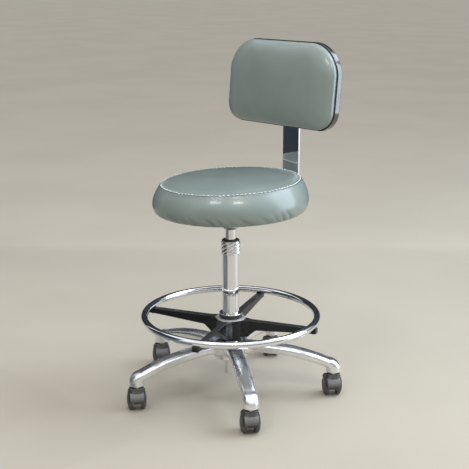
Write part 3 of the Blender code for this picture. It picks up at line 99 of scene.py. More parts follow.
class Body(str, Enum):
    """Bodies of the frame that the fixed-name pieces ride on."""

    BASE = "base"
    SEAT = "seat"
    LEVER = "lever"
    DEPTH_KNOB = "depth_knob"
    BAR = "bar"
    BACKREST = "backrest"
    HEIGHT_KNOB = "height_knob"
    RING = "ring"


class Slot(str, Enum):
    """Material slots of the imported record."""

    ALUMINIUM = "polished_aluminium"
    CHROME = "chrome"
    ZINC = "zinc_steel"
    MOULDING = "black_moulding"
    SHELL = "gloss_black_shell"
    NYLON = "black_nylon"
    WHEEL = "wheel_nylon"
    PLYWOOD = "plywood"
    VINYL = "grey_green_vinyl"


class Side(Enum):
    """The two wheels of a caster, with their direction along the axle."""

    LEFT = -1
    RIGHT = 1


class Cut(str, Enum):
    """Ways to combine solids."""

    JOIN = "UNION"
    CARVE = "DIFFERENCE"


# Meshes


def faced_out(mesh: Mesh, merge: bool = False) -> Mesh:
    """Turn a mesh's faces outwards, with its doubles merged first if asked.

    Args:
        mesh: The mesh, changed in place.
        merge: Merge its doubles first.

    Returns:
        The same mesh.
    """
    work = bmesh.new()
    work.from_mesh(mesh)
    if merge:
        bmesh.ops.remove_doubles(work, verts=work.verts, dist=POLE)
    bmesh.ops.recalc_face_normals(work, faces=work.faces)
    work.to_mesh(mesh)
    work.free()
    return mesh


def new_mesh(name: str, points: Iterable[Sequence[float]], faces: Iterable[Sequence[int]]) -> Mesh:
    """Make a mesh whose faces point outwards.

    Args:
        name: Name of the mesh.
        points: Places of its vertices.
        faces: Vertex numbers of each face.

    Returns:
        The mesh, with doubles merged.
    """
    mesh = bpy.data.meshes.new(name)
    mesh.from_pydata([tuple(point) for point in points], [], [tuple(face) for face in faces])
    return faced_out(mesh, merge=True)


def skin(name: str, loops: Sequence[Sequence[Sequence[float]]], ring: bool = False) -> Mesh:
    """Skin loops of equal count in order.

    Args:
        name: Name of the mesh.
        loops: Loops of points, in order.
        ring: Join the last loop to the first instead of closing both ends.

    Returns:
        A closed mesh.
    """
    rows, count = len(loops), len(loops[0])
    points = [point for loop in loops for point in loop]
    faces: list[tuple[int, ...]] = []
    for i in range(rows if ring else rows - 1):
        low, high = i * count, (i + 1) % rows * count
        for j in range(count):
            k = (j + 1) % count
            faces.append((low + j, low + k, high + k, high + j))
    if not ring:
        faces.append(tuple(range(count)))
        faces.append(tuple(range(len(points) - count, len(points))))
    return new_mesh(name, points, faces)


def lathe(name: str, outline: Sequence[Pair], sides: int = ROUND) -> Mesh:
    """Turn a closed outline about Z.

    Args:
        name: Name of the mesh.
        outline: Points of (radius, height), in order.
        sides: Facets round the axis.

    Returns:
        A closed mesh.
    """
    points: list[Place] = []
    rows: list[list[int]] = []
    for radius, height in outline:
        start = len(points)
        steps = 1 if radius < POLE else sides
        for i in range(steps):
            angle = math.tau * i / sides
            points.append((radius * math.cos(angle), radius * math.sin(angle), height))
        rows.append(list(range(start, start + steps)))
    faces = []
    for low, high in zip(rows, rows[1:] + rows[:1]):
        if len(low) == 1 and len(high) == 1:
            continue
        for i in range(sides):
            j = (i + 1) % sides
            corners = (low[i % len(low)], low[j % len(low)], high[j % len(high)], high[i % len(high)])
            faces.append(tuple(dict.fromkeys(corners)))
    return new_mesh(name, points, faces)


def arc(centre: Pair, radius: float, start: float, stop: float, steps: int) -> list[Pair]:
    """List points on an arc, both ends included."""
    angles = [start + (stop - start) * i / steps for i in range(steps + 1)]
    return [(centre[0] + radius * math.cos(a), centre[1] + radius * math.sin(a)) for a in angles]


def soften(corners: Sequence[Corner], steps: int = 4) -> list[Pair]:
    """Round the corners of a closed outline.

    Args:
        corners: Points of (x, y, radius); a radius of zero keeps the corner.
        steps: Facets on each round.

    Returns:
        The rounded outline.
    """
    outline: list[Pair] = []
    for i, (x, y, radius) in enumerate(corners):
        here = Vector((x, y))
        before = Vector(corners[i - 1][:2]) - here
        after = Vector(corners[(i + 1) % len(corners)][:2]) - here
        half = before.angle(after) / 2
        if radius <= 0.0 or half > math.radians(89.0):
            outline.append((x, y))
            continue
        reach = min(radius / math.tan(half), 0.49 * before.length, 0.49 * after.length)
        before.normalize()
        after.normalize()
        centre = here + (before + after).normalized() * reach / math.cos(half)
        start = here + before * reach - centre
        stop = here + after * reach - centre
        first = math.atan2(start.y, start.x)
        turn = (math.atan2(stop.y, stop.x) - first + math.pi) % math.tau - math.pi
        outline += arc((centre.x, centre.y), start.length, first, first + turn, steps)
    return outline


def plate_outline(width: float, height: float, radius: float, steps: int = 6) -> list[Pair]:
    """Outline a rectangle about the origin with round corners."""
    x, y = width / 2, height / 2
    return soften([(-x, -y, radius), (x, -y, radius), (x, y, radius), (-x, y, radius)], steps)


def slab(name: str, outline: Sequence[Pair], low: float, high: float) -> Mesh:
    """Extrude an outline of (x, y) points along Z."""
    return skin(name, [[(x, y, z) for x, y in outline] for z in (low, high)])


def block(name: str, low: Sequence[float], high: Sequence[float]) -> Mesh:
    """Make a plain box, as a cutter or the start of a bevelled piece."""
    outline = [(low[0], low[1]), (high[0], low[1]), (high[0], high[1]), (low[0], high[1])]
    return slab(name, outline, low[2], high[2])


def pillar(name: str, radius: float, low: float, high: float, sides: int = SMALL_ROUND) -> Mesh:
    """Make a plain cylinder along Z, as a cutter or the start of a bevelled piece."""
    return lathe(name, [(0.0, low), (radius, low), (radius, high), (0.0, high)], sides)


def placed(mesh: Mesh, matrix: Matrix) -> Mesh:
    """Move a mesh in place."""
    mesh.transform(matrix)
    return mesh


def shifted(mesh: Mesh, x: float = 0.0, y: float = 0.0, z: float = 0.0) -> Mesh:
    """Slide a mesh in place."""
    return placed(mesh, Matrix.Translation((x, y, z)))


def lying_y(mesh: Mesh) -> Mesh:
    """Lay a mesh that was made along +Z along +Y."""
    return placed(mesh, Matrix.Rotation(-math.pi / 2, 4, "X"))


def evaluated(holder: Object) -> Mesh:
    """Return a plain mesh of an object with its modifiers applied.

    Args:
        holder: Object that carries the mesh and its modifiers.

    Returns:
        A new mesh.
    """
    graph = bpy.context.evaluated_depsgraph_get()
    return bpy.data.meshes.new_from_object(
        holder.evaluated_get(graph), preserve_all_data_layers=True, depsgraph=graph
    )


def hold(mesh: Mesh) -> Object:
    """Put a mesh on a short-lived object.

    Args:
        mesh: The mesh.

    Returns:
        The object that carries it.
    """
    holder = bpy.data.objects.new(mesh.name, mesh)
    bpy.context.scene.collection.objects.link(holder)
    return holder


def drop(holder: Object) -> None:
    """Remove a short-lived object and its mesh.

    Args:
        holder: The object.
    """
    used = holder.data
    bpy.data.objects.remove(holder, do_unlink=True)
    bpy.data.meshes.remove(used)


def worked(mesh: Mesh, kind: str, **settings: object) -> Mesh:
    """Return a mesh after one modifier.

    Args:
        mesh: The mesh, which is used up.
        kind: Blender's name of the modifier.
        **settings: Properties of the modifier.

    Returns:
        The new mesh.
    """
    holder = hold(mesh)
    modifier = holder.modifiers.new(kind.lower(), kind)
    for key, value in settings.items():
        setattr(modifier, key, value)
    result = evaluated(holder)
    drop(holder)
    return result


def combined(mesh: Mesh, cut: Cut, *others: Mesh) -> Mesh:
    """Return a mesh after a Boolean with each of the others.

    Args:
        mesh: The first solid, which is used up.
        cut: Whether the others are joined or carved out.
        *others: The other solids, which are used up.

    Returns:
        The new solid.
    """
    holder = hold(mesh)
    tools = [hold(other) for other in others]
    for tool in tools:
        tool.hide_render = True
        modifier = holder.modifiers.new(tool.name, "BOOLEAN")
        modifier.operation = cut.value
        modifier.solver = "EXACT"
        modifier.object = tool
    result = evaluated(holder)
    for item in (holder, *tools):
        drop(item)
    return result


def shaded(mesh: Mesh) -> Mesh:
    """Shade a mesh smooth, with sharp edges kept and flat faces truly flat.

    Args:
        mesh: The mesh, which is used up.

    Returns:
        The shaded mesh.
    """
    mesh.shade_smooth()
    mesh.set_sharp_from_angle(angle=SHARP_EDGE)
    return worked(mesh, "WEIGHTED_NORMAL", keep_sharp=True)


def bevelled(mesh: Mesh, width: float, segments: int = 2) -> Mesh:
    """Round a solid's edges and shade it.

    Args:
        mesh: The solid, which is used up.
        width: Width of the round.
        segments: Facets across it.

    Returns:
        The shaded mesh.
    """
    soft = worked(
        mesh, "BEVEL", width=width, segments=segments, limit_method="ANGLE", angle_limit=SHARP_EDGE,
        use_clamp_overlap=True,
    )
    return shaded(soft)


def with_painted_light(mesh: Mesh, rule: Callable[[np.ndarray, np.ndarray], np.ndarray]) -> Mesh:
    """Keep on each face how much painted light it gets, by a rule on the faces' middles and normals.

    Args:
        mesh: The mesh, changed in place.
        rule: Gives a number for each face.

    Returns:
        The same mesh.
    """
    count = len(mesh.polygons)
    centres, normals = np.empty(3 * count), np.empty(3 * count)
    mesh.polygons.foreach_get("center", centres)
    mesh.polygons.foreach_get("normal", normals)
    values = np.clip(rule(centres.reshape(-1, 3), normals.reshape(-1, 3)), 0.0, 1.0)
    mesh.attributes.new("pale", "FLOAT", "FACE").data.foreach_set("value", values.astype(np.float32))
    return mesh


def swept(name: str, path: Sequence[Vector], section: Sequence[Pair], side: Vector) -> Mesh:
    """Sweep a section along a path that lies in a plane.

    Args:
        name: Name of the mesh.
        path: Points of the path.
        section: Points of (across, out) of the section.
        side: Normal of the path's plane, which the section's across follows.

    Returns:
        A closed mesh.
    """
    loops = []
    for i, point in enumerate(path):
        ahead = (path[min(i + 1, len(path) - 1)] - path[max(i - 1, 0)]).normalized()
        out = ahead.cross(side)
        loops.append([point + side * across + out * away for across, away in section])
    return skin(name, loops)


def circle_section(radius: float, sides: int) -> list[Pair]:
    """List the points of a round section."""
    return arc((0.0, 0.0), radius, 0.0, math.tau, sides)[:-1]


def squared(c: float, s: float, wide: float, deep: float, power: float) -> Pair:
    """Return a point of a rounded rectangle at an angle's cosine and sine, or of an ellipse at power 1."""
    return wide * math.copysign(abs(c) ** power, c), deep * math.copysign(abs(s) ** power, s)


def mix(first: float, last: float, t: float | np.ndarray) -> float | np.ndarray:
    """Return the value a share of the way from one to another."""
    return first + (last - first) * t


def run_along(points: np.ndarray) -> np.ndarray:
    """Return the distance along a row of points at each of them."""
    return np.concatenate([[0.0], np.cumsum(np.linalg.norm(np.diff(points, axis=0), axis=1))])


def blurred(values: np.ndarray, axis: int) -> np.ndarray:
    """Average each value with its neighbours round an axis."""
    return (np.roll(values, 1, axis=axis) + 2 * values + np.roll(values, -1, axis=axis)) / 4


def bend(points: Sequence[Vector], radius: float, steps: int) -> list[Vector]:
    """Round the inner corners of an open path.

    Args:
        points: Corners of the path.
        radius: Bend radius.
        steps: Facets on each bend.

    Returns:
        Points of the bent path.
    """
    path = [points[0]]
    for before, here, after in zip(points, points[1:], points[2:]):
        back, on = (before - here).normalized(), (after - here).normalized()
        half = back.angle(on) / 2
        reach = radius / math.tan(half)
        centre = here + (back + on).normalized() * radius / math.sin(half)
        start, stop = here + back * reach - centre, here + on * reach - centre
        for i in range(steps + 1):
            path.append(centre + start.slerp(stop, i / steps).normalized() * radius)
    path.append(points[-1])
    return path


# Shader graphs and finishes


class Wiring:
    """Adds and wires the nodes of one tree."""

    def __init__(self, tree: NodeTree) -> None:
        """Take the tree that the nodes go into."""
        self.tree = tree

    def node(self, kind: str, values: Mapping[str | int, object] | None = None, **settings: object) -> Node:
        """Add a node.

        Args:
            kind: Blender's name of the node.
            values: What its inputs are fed with, a value or another node's socket.
            **settings: Properties of the node.

        Returns:
            The node.
        """
        made = self.tree.nodes.new(kind)
        for key, value in settings.items():
            setattr(made, key, value)
        for key, value in (values or {}).items():
            self.feed(made.inputs[key], value)
        return made

    def feed(self, socket: NodeSocket, value: object) -> None:
        """Wire a socket to another, or set its value.

        Args:
            socket: Socket to feed.
            value: Another node's socket, or a value.
        """
        if isinstance(value, NodeSocket):
            self.tree.links.new(value, socket)
        elif socket.type == "RGBA":
            socket.default_value = (*value, 1.0)
        else:
            socket.default_value = value

    def math(self, operation: str, first: object, second: object = 0.0) -> NodeSocket:
        """Combine two numbers."""
        return self.node("ShaderNodeMath", {0: first, 1: second}, operation=operation).outputs[0]

    def times(self, first: object, second: object) -> NodeSocket:
        """Multiply two numbers."""
        return self.math("MULTIPLY", first, second)

    def vector(self, operation: str, first: object, second: object) -> Node:
        """Combine two vectors and return the node, which has a vector and a number."""
        return self.node("ShaderNodeVectorMath", {0: first, 1: second}, operation=operation)

    def span(
        self, value: NodeSocket, low: float, high: float, start: float = 0.0, stop: float = 1.0
    ) -> NodeSocket:
        """Stretch a range of a value onto another, clamped."""
        values = {0: value, 1: low, 2: high, 3: start, 4: stop}
        return self.node("ShaderNodeMapRange", values, interpolation_type="SMOOTHSTEP").outputs[0]


class Graph(Wiring):
    """The nodes of one material."""

    def __init__(self, name: str) -> None:
        """Start a material with its Principled shader.

        Args:
            name: Name of the material.
        """
        self.material = bpy.data.materials.new(name)
        self.material.use_nodes = True
        super().__init__(self.material.node_tree)
        self.shader = self.tree.nodes["Principled BSDF"]
        self.place = self.node("ShaderNodeTexCoord").outputs["Object"]

    def set(self, **values: object) -> None:
        """Feed inputs of the Principled shader, named with underscores."""
        for key, value in values.items():
            self.feed(self.shader.inputs[key.replace("_", " ")], value)

    def stretched(self, x: float, y: float, z: float) -> NodeSocket:
        """Return the object's coordinates with each axis scaled."""
        return self.node("ShaderNodeMapping", {"Vector": self.place, "Scale": (x, y, z)}).outputs[0]

    def noise(self, scale: float, detail: float = 2.0, place: NodeSocket | None = None) -> NodeSocket:
        """Return a noise of the given scale per metre."""
        values = {"Vector": place or self.place, "Scale": scale, "Detail": detail}
        return self.node("ShaderNodeTexNoise", values).outputs[0]

    def blend(self, factor: NodeSocket, first: object, second: object) -> NodeSocket:
        """Mix two colours by a factor."""
        values = {0: factor, 6: first, 7: second}
        return self.node("ShaderNodeMix", values, data_type="RGBA").outputs[2]

    def attribute(self, name: str) -> NodeSocket:
        """Return a number that is kept on the mesh."""
        return self.node("ShaderNodeAttribute", attribute_name=name).outputs["Fac"]

    def upward(self) -> NodeSocket:
        """Return how far a face looks up."""
        normal = self.node("ShaderNodeNewGeometry").outputs["Normal"]
        return self.node("ShaderNodeSeparateXYZ", {0: normal}).outputs[2]

    def edges(self, radius: float) -> NodeSocket:
        """Return a mask of the edges within a radius.

        Args:
            radius: How far from an edge the mask reaches.

        Returns:
            A number from 0 to 1.
        """
        soft = self.node("ShaderNodeBevel", {"Radius": radius}, samples=4).outputs[0]
        normal = self.node("ShaderNodeNewGeometry").outputs["Normal"]
        return self.span(self.vector("DOT_PRODUCT", soft, normal).outputs["Value"], 0.995, 0.90)

    def bump(self, height: NodeSocket, strength: float, distance: float) -> None:
        """Give the shader a bump."""
        values = {"Height": height, "Strength": strength, "Distance": distance}
        self.set(Normal=self.node("ShaderNodeBump", values).outputs[0])


@dataclass(frozen=True)
class Finish:
    """A finish with its name and its slot in the record."""

    name: str
    slot: Slot
    colour: Colour

    def wire(self, graph: Graph) -> None:
        """Wire the finish's nodes."""
        raise NotImplementedError

    def make(self) -> Material:
        """Build the material.

        Returns:
            The material.
        """
        graph = Graph(self.name)
        self.wire(graph)
        graph.material.diffuse_color = (*self.colour, 1.0)
        return graph.material


@dataclass(frozen=True)
class Vinyl(Finish):
    """Coated upholstery cloth with a fine grain, painted shade in its creases and gaps, and a painted
    highlight on its ridges and edge rolls.
    """

    shade: Colour = (0.153, 0.184, 0.167)
    # colour of the painted shade in creases and gaps
    soil: Colour = (0.075, 0.084, 0.076)
    # lighter tone, for the random mottle and for the painted highlight on ridges
    worn_and_highlight: Colour = (0.300, 0.350, 0.335)

    def wire(self, graph: Graph) -> None:
        """Wire grain, clouds of tone, painted crease shade and painted highlight.

        Args:
            graph: Graph of the finish's material.
        """
        cloud = graph.noise(7.0, 3.0)
        mottle = graph.noise(85.0, 3.0)
        tone = graph.blend(graph.span(cloud, 0.36, 0.70, 0.0, 0.45), self.colour, self.shade)
        tone = graph.blend(graph.span(mottle, 0.52, 0.90, 0.0, 0.10), tone, self.worn_and_highlight)
        # painted shade kept on the mesh: seam groove, pleat valleys, the seat's foot and the pad's gap
        tone = graph.blend(graph.attribute("soil"), tone, self.soil)
        # painted highlight kept on the mesh: the seat's seam ridge and the pad's edge roll, where it also
        # stands for rubbing
        tone = graph.blend(graph.attribute("wear"), tone, self.worn_and_highlight)
        handled = graph.noise(22.0, 4.0)
        graph.set(Base_Color=tone, Roughness=graph.span(handled, 0.30, 0.75, 0.32, 0.42))
        graph.set(Coat_Weight=0.5, Coat_Roughness=0.17)
        graph.bump(graph.noise(420.0, 2.0), 0.04, 0.0003)


@dataclass(frozen=True)
class Chrome(Finish):
    """Bright plating with faint smudges and specks."""

    gloss: float = 0.045

    def wire(self, graph: Graph) -> None:
        """Wire smudges into the gloss.

        Args:
            graph: Graph of the finish's material.
        """
        smudge = graph.noise(26.0, 4.0)
        speck = graph.span(graph.noise(420.0, 2.0), 0.66, 0.76)
        haze = graph.span(smudge, 0.42, 0.80, self.gloss, self.gloss + 0.11)
        rough = graph.math("ADD", haze, graph.times(speck, 0.16))
        tone = graph.blend(graph.times(speck, 0.45), self.colour, (0.42, 0.41, 0.39))
        graph.set(Base_Color=tone, Metallic=1.0, Roughness=rough)
        graph.bump(graph.noise(34.0, 1.0), 0.035, 0.002)


@dataclass(frozen=True)
class PolishedAluminium(Finish):
    """Hand-polished casting whose reflections waver."""

    def wire(self, graph: Graph) -> None:
        """Wire the waver of the polish, its haze and small pits.

        Args:
            graph: Graph of the finish's material.
        """
        haze = graph.noise(38.0, 5.0)
        pit = graph.span(graph.noise(300.0, 2.0), 0.64, 0.76)
        tone = graph.blend(graph.span(haze, 0.50, 0.82, 0.0, 0.3), self.colour, (0.60, 0.60, 0.61))
        tone = graph.blend(graph.times(pit, 0.25), tone, (0.30, 0.29, 0.28))
        graph.set(Base_Color=tone, Metallic=1.0, Roughness=graph.span(haze, 0.35, 0.80, 0.27, 0.38))
        graph.bump(graph.noise(36.0, 1.0), 0.16, 0.004)


@dataclass(frozen=True)
class ZincSteel(Finish):
    """Plated steel with a dull mottle."""

    def wire(self, graph: Graph) -> None:
        """Wire the mottle of the plating.

        Args:
            graph: Graph of the finish's material.
        """
        mottle = graph.noise(140.0, 4.0)
        tone = graph.blend(graph.span(mottle, 0.38, 0.70), self.colour, (0.33, 0.33, 0.32))
        graph.set(Base_Color=tone, Metallic=1.0, Roughness=graph.span(mottle, 0.30, 0.75, 0.28, 0.50))
        graph.bump(graph.noise(600.0, 2.0), 0.06, 0.0004)


@dataclass(frozen=True)
class Black(Finish):
    """Black paint or moulding with a skin texture, rubbing and painted glint on edges, painted light on
    marked faces and dust on what looks up.
    """

    dust: Colour = (0.15, 0.145, 0.135)
    dusty: float = 0.35
    # colour of the edges: rubbing, and a painted glint where it is bright
    rubbed_and_highlight: Colour = (0.16, 0.16, 0.16)
    gloss: float = 0.30
    texture: float = 0.08
    coat: float = 0.0
    # colour of the painted light on faces marked on the mesh
    pale: Colour = (0.165, 0.162, 0.157)
    shine: float = 0.5

    def wire(self, graph: Graph) -> None:
        """Wire dust, rubbing and painted glint on edges, painted light on marked faces, and the skin's
        texture.

        Args:
            graph: Graph of the finish's material.
        """
        drift = graph.noise(30.0, 5.0)
        cover = graph.span(drift, 0.15, 0.60, 0.6, 1.0)
        fall = graph.times(graph.span(graph.upward(), 0.15, 0.95), cover)
        # edges lightened by rubbing and by a painted glint along them
        edge_wear_and_glint = graph.times(graph.edges(0.0012), graph.span(graph.noise(150.0, 3.0), 0.30, 0.70))
        tone = graph.blend(graph.times(edge_wear_and_glint, 0.6), self.colour, self.rubbed_and_highlight)
        # painted light on faces marked on the mesh: hood fronts and the spider hub's top edge
        tone = graph.blend(graph.times(graph.attribute("pale"), cover), tone, self.pale)
        tone = graph.blend(graph.times(fall, self.dusty), tone, self.dust)
        rough = graph.span(drift, 0.28, 0.75, self.gloss, self.gloss + 0.16)
        dull = graph.times(fall, self.dusty / 2)
        graph.set(Base_Color=tone, Roughness=graph.math("ADD", rough, dull))
        graph.set(Coat_Weight=self.coat, Coat_Roughness=0.06, Specular_IOR_Level=self.shine)
        graph.bump(graph.noise(900.0, 2.0), self.texture, 0.0004)


@dataclass(frozen=True)
class Plywood(Finish):
    """Rotary-cut veneer with a long grain."""

    dark: Colour = (0.17, 0.115, 0.070)

    def wire(self, graph: Graph) -> None:
        """Wire the grain and its pores.

        Args:
            graph: Graph of the finish's material.
        """
        grain = graph.noise(18.0, 6.0, graph.stretched(1.0, 9.0, 9.0))
        pores = graph.noise(160.0, 2.0, graph.stretched(1.0, 14.0, 14.0))
        tone = graph.blend(graph.span(grain, 0.34, 0.68), self.colour, self.dark)
        tone = graph.blend(graph.span(pores, 0.62, 0.78, 0.0, 0.6), tone, (0.16, 0.09, 0.045))
        graph.set(Base_Color=tone, Roughness=graph.span(grain, 0.3, 0.7, 0.58, 0.78))
        graph.bump(pores, 0.15, 0.0005)


@dataclass(frozen=True)
class Thread(Finish):
    """Twisted sewing thread."""

    def wire(self, graph: Graph) -> None:
        """Wire the twist and a little dirt.

        Args:
            graph: Graph of the finish's material.
        """
        twist = graph.noise(1500.0, 1.0)
        tone = graph.blend(graph.span(graph.noise(60.0), 0.4, 0.7), self.colour, (0.42, 0.46, 0.45))
        graph.set(Base_Color=tone, Roughness=graph.span(twist, 0.3, 0.7, 0.55, 0.75))
        graph.bump(twist, 0.3, 0.0004)


VINYL = Vinyl("grey_green_vinyl_skin", Slot.VINYL, (0.197, 0.239, 0.219))
CHROME = Chrome("bright_chrome", Slot.CHROME, (0.79, 0.80, 0.82))
SATIN = Chrome("satin_chrome", Slot.CHROME, (0.74, 0.75, 0.77), gloss=0.26)
ALUMINIUM = PolishedAluminium("polished_casting", Slot.ALUMINIUM, (0.86, 0.86, 0.87))
ZINC = ZincSteel("zinc_plate", Slot.ZINC, (0.54, 0.55, 0.56))
# the casting's bright edge colour paints glints as well as rubbing; its marked-face colour is the painted
# highlight on the hub's top
CASTING = Black(
    "black_paint", Slot.MOULDING, (0.008, 0.008, 0.009), gloss=0.16, dusty=0.16, shine=0.3,
    rubbed_and_highlight=(0.35, 0.34, 0.34), pale=(0.40, 0.39, 0.39),
)
MOULDING = Black("black_moulding_skin", Slot.MOULDING, (0.022, 0.022, 0.023), gloss=0.36, texture=0.14)
SHELL = Black(
    "gloss_shell_skin", Slot.SHELL, (0.010, 0.010, 0.012), gloss=0.10, texture=0.02, dusty=0.10, coat=1.0,
)
NYLON = Black("dusty_nylon", Slot.NYLON, (0.024, 0.024, 0.023), gloss=0.40, texture=0.12, dusty=0.20)
KNOB_NYLON = Black("knob_nylon", Slot.NYLON, (0.024, 0.024, 0.025), gloss=0.38, texture=0.10)
WHEEL = Black(
    "wheel_nylon_skin", Slot.WHEEL, (0.066, 0.064, 0.059), gloss=0.46, texture=0.10, dusty=0.4,
    rubbed_and_highlight=(0.22, 0.21, 0.195),
)
PLYWOOD = Plywood("birch_ply", Slot.PLYWOOD, (0.28, 0.215, 0.145))
THREAD = Thread("seam_thread", Slot.VINYL, (0.72, 0.77, 0.76))


# Geometry node trees


class Growth(Wiring):
    """A geometry node tree with named inputs, whose result becomes a plain mesh."""

    def __init__(self, name: str) -> None:
        """Start an empty tree.

        Args:
            name: Name of the tree.
        """
        super().__init__(bpy.data.node_groups.new(name, "GeometryNodeTree"))
        self.entry = self.tree.nodes.new("NodeGroupInput")
        self.keys: dict[str, str] = {}

    def wants(self, name: str, kind: str) -> NodeSocket:
        """Add a named input.

        Args:
            name: Name of the input.
            kind: Kind of its socket.

        Returns:
            The input's socket.
        """
        item = self.tree.interface.new_socket(name, in_out="INPUT", socket_type=f"NodeSocket{kind}")
        self.keys[name] = item.identifier
        return self.entry.outputs[name]

    def close(self, geometry: NodeSocket) -> None:
        """End the tree in Realize Instances and Set Material.

        Args:
            geometry: What the tree has made.
        """
        material = self.wants("Material", "Material")
        real = self.node("GeometryNodeRealizeInstances", {0: geometry}).outputs[0]
        dressed = self.node("GeometryNodeSetMaterial", {"Geometry": real, "Material": material}).outputs[0]
        self.tree.interface.new_socket("Geometry", in_out="OUTPUT", socket_type="NodeSocketGeometry")
        self.tree.links.new(dressed, self.tree.nodes.new("NodeGroupOutput").inputs[0])

    def grow(self, carrier: Mesh, values: Mapping[str, object]) -> Mesh:
        """Run the tree on a carrier.

        Args:
            carrier: Mesh that the tree starts from, which is used up.
            values: The tree's inputs by name.

        Returns:
            The result as a plain mesh.
        """
        holder = hold(carrier)
        modifier = holder.modifiers.new(self.tree.name, "NODES")
        modifier.node_group = self.tree
        for name, value in values.items():
            modifier[self.keys[name]] = value
        result = evaluated(holder)
        holder.modifiers.remove(modifier)
        drop(holder)
        return result


def scatter_tree() -> Growth:
    """Build the tree that sets a template on each point of a carrier, turned by the carrier's attribute.

    Returns:
        The tree.
    """
    growth = Growth("set_on_points")
    points = growth.wants("Points", "Geometry")
    template = growth.wants("Template", "Object")
    size = growth.wants("Size", "Float")
    info = growth.node("GeometryNodeObjectInfo", {"Object": template, "As Instance": True})
    turn = growth.node("GeometryNodeInputNamedAttribute", {"Name": "turn"}, data_type="FLOAT_VECTOR")
    spread = growth.node("GeometryNodeInstanceOnPoints", {
        "Points": points, "Instance": info.outputs["Geometry"], "Rotation": turn.outputs[0], "Scale": size,
    })
    growth.close(spread.outputs[0])
    return growth


def ring_tree() -> Growth:
    """Build the tree that runs a round tube along a circle.

    Returns:
        The tree.
    """
    growth = Growth("tube_on_circle")
    growth.wants("Carrier", "Geometry")
    ring = growth.wants("Ring Radius", "Float")
    tube = growth.wants("Tube Radius", "Float")
    centre = growth.wants("Centre", "Vector")
    path = growth.node("GeometryNodeCurvePrimitiveCircle", {"Resolution": 240, "Radius": ring}).outputs[0]
    section = growth.node("GeometryNodeCurvePrimitiveCircle", {"Resolution": 32, "Radius": tube}).outputs[0]
    body = growth.node("GeometryNodeCurveToMesh", {"Curve": path, "Profile Curve": section}).outputs[0]
    moved = growth.node("GeometryNodeTransform", {"Geometry": body, "Translation": centre}).outputs[0]
    growth.close(moved)
    return growth


def spiral_tree() -> Growth:
    """Build the tree that raises spiral ribs on the outer wall of a sleeve.

    Returns:
        The tree.
    """
    growth = Growth("spiral_ribs")
    sleeve = growth.wants("Sleeve", "Geometry")
    axis = growth.wants("Axis", "Vector")
    ribs = growth.wants("Ribs", "Float")
    height = growth.wants("Rib Height", "Float")
    twist = growth.wants("Twist", "Float")
    foot = growth.wants("Foot", "Float")
    length = growth.wants("Length", "Float")
    wall = growth.wants("Wall Radius", "Float")
    position = growth.node("GeometryNodeInputPosition").outputs[0]
    place = growth.vector("SUBTRACT", position, axis).outputs[0]
    parts = growth.node("ShaderNodeSeparateXYZ", {0: place}).outputs
    angle = growth.math("ARCTAN2", parts[1], parts[0])
    along = growth.math("DIVIDE", growth.math("SUBTRACT", parts[2], foot), length)
    turned = growth.math("SUBTRACT", angle, growth.times(along, twist))
    phase = growth.times(turned, ribs)
    wave = growth.math("MULTIPLY_ADD", growth.math("COSINE", phase), 0.5)
    wave.node.inputs[2].default_value = 0.5
    crest = growth.math("POWER", wave, 0.7)
    ends = growth.math("MINIMUM", along, growth.math("SUBTRACT", 1.0, along))
    fade = growth.span(ends, 0.02, 0.13)
    flat = growth.node("ShaderNodeCombineXYZ", {0: parts[0], 1: parts[1]}).outputs[0]
    radius = growth.node("ShaderNodeVectorMath", {0: flat}, operation="LENGTH").outputs["Value"]
    outer = growth.math("GREATER_THAN", radius, wall)
    full = growth.times(height, outer)
    rise = growth.times(growth.times(crest, fade), full)
    out = growth.node("ShaderNodeVectorMath", {0: flat}, operation="NORMALIZE").outputs[0]
    shift = growth.node("ShaderNodeVectorMath", {0: out, "Scale": rise}, operation="SCALE").outputs[0]
    growth.close(growth.node("GeometryNodeSetPosition", {"Geometry": sleeve, "Offset": shift}).outputs[0])
    return growth


# Workshop


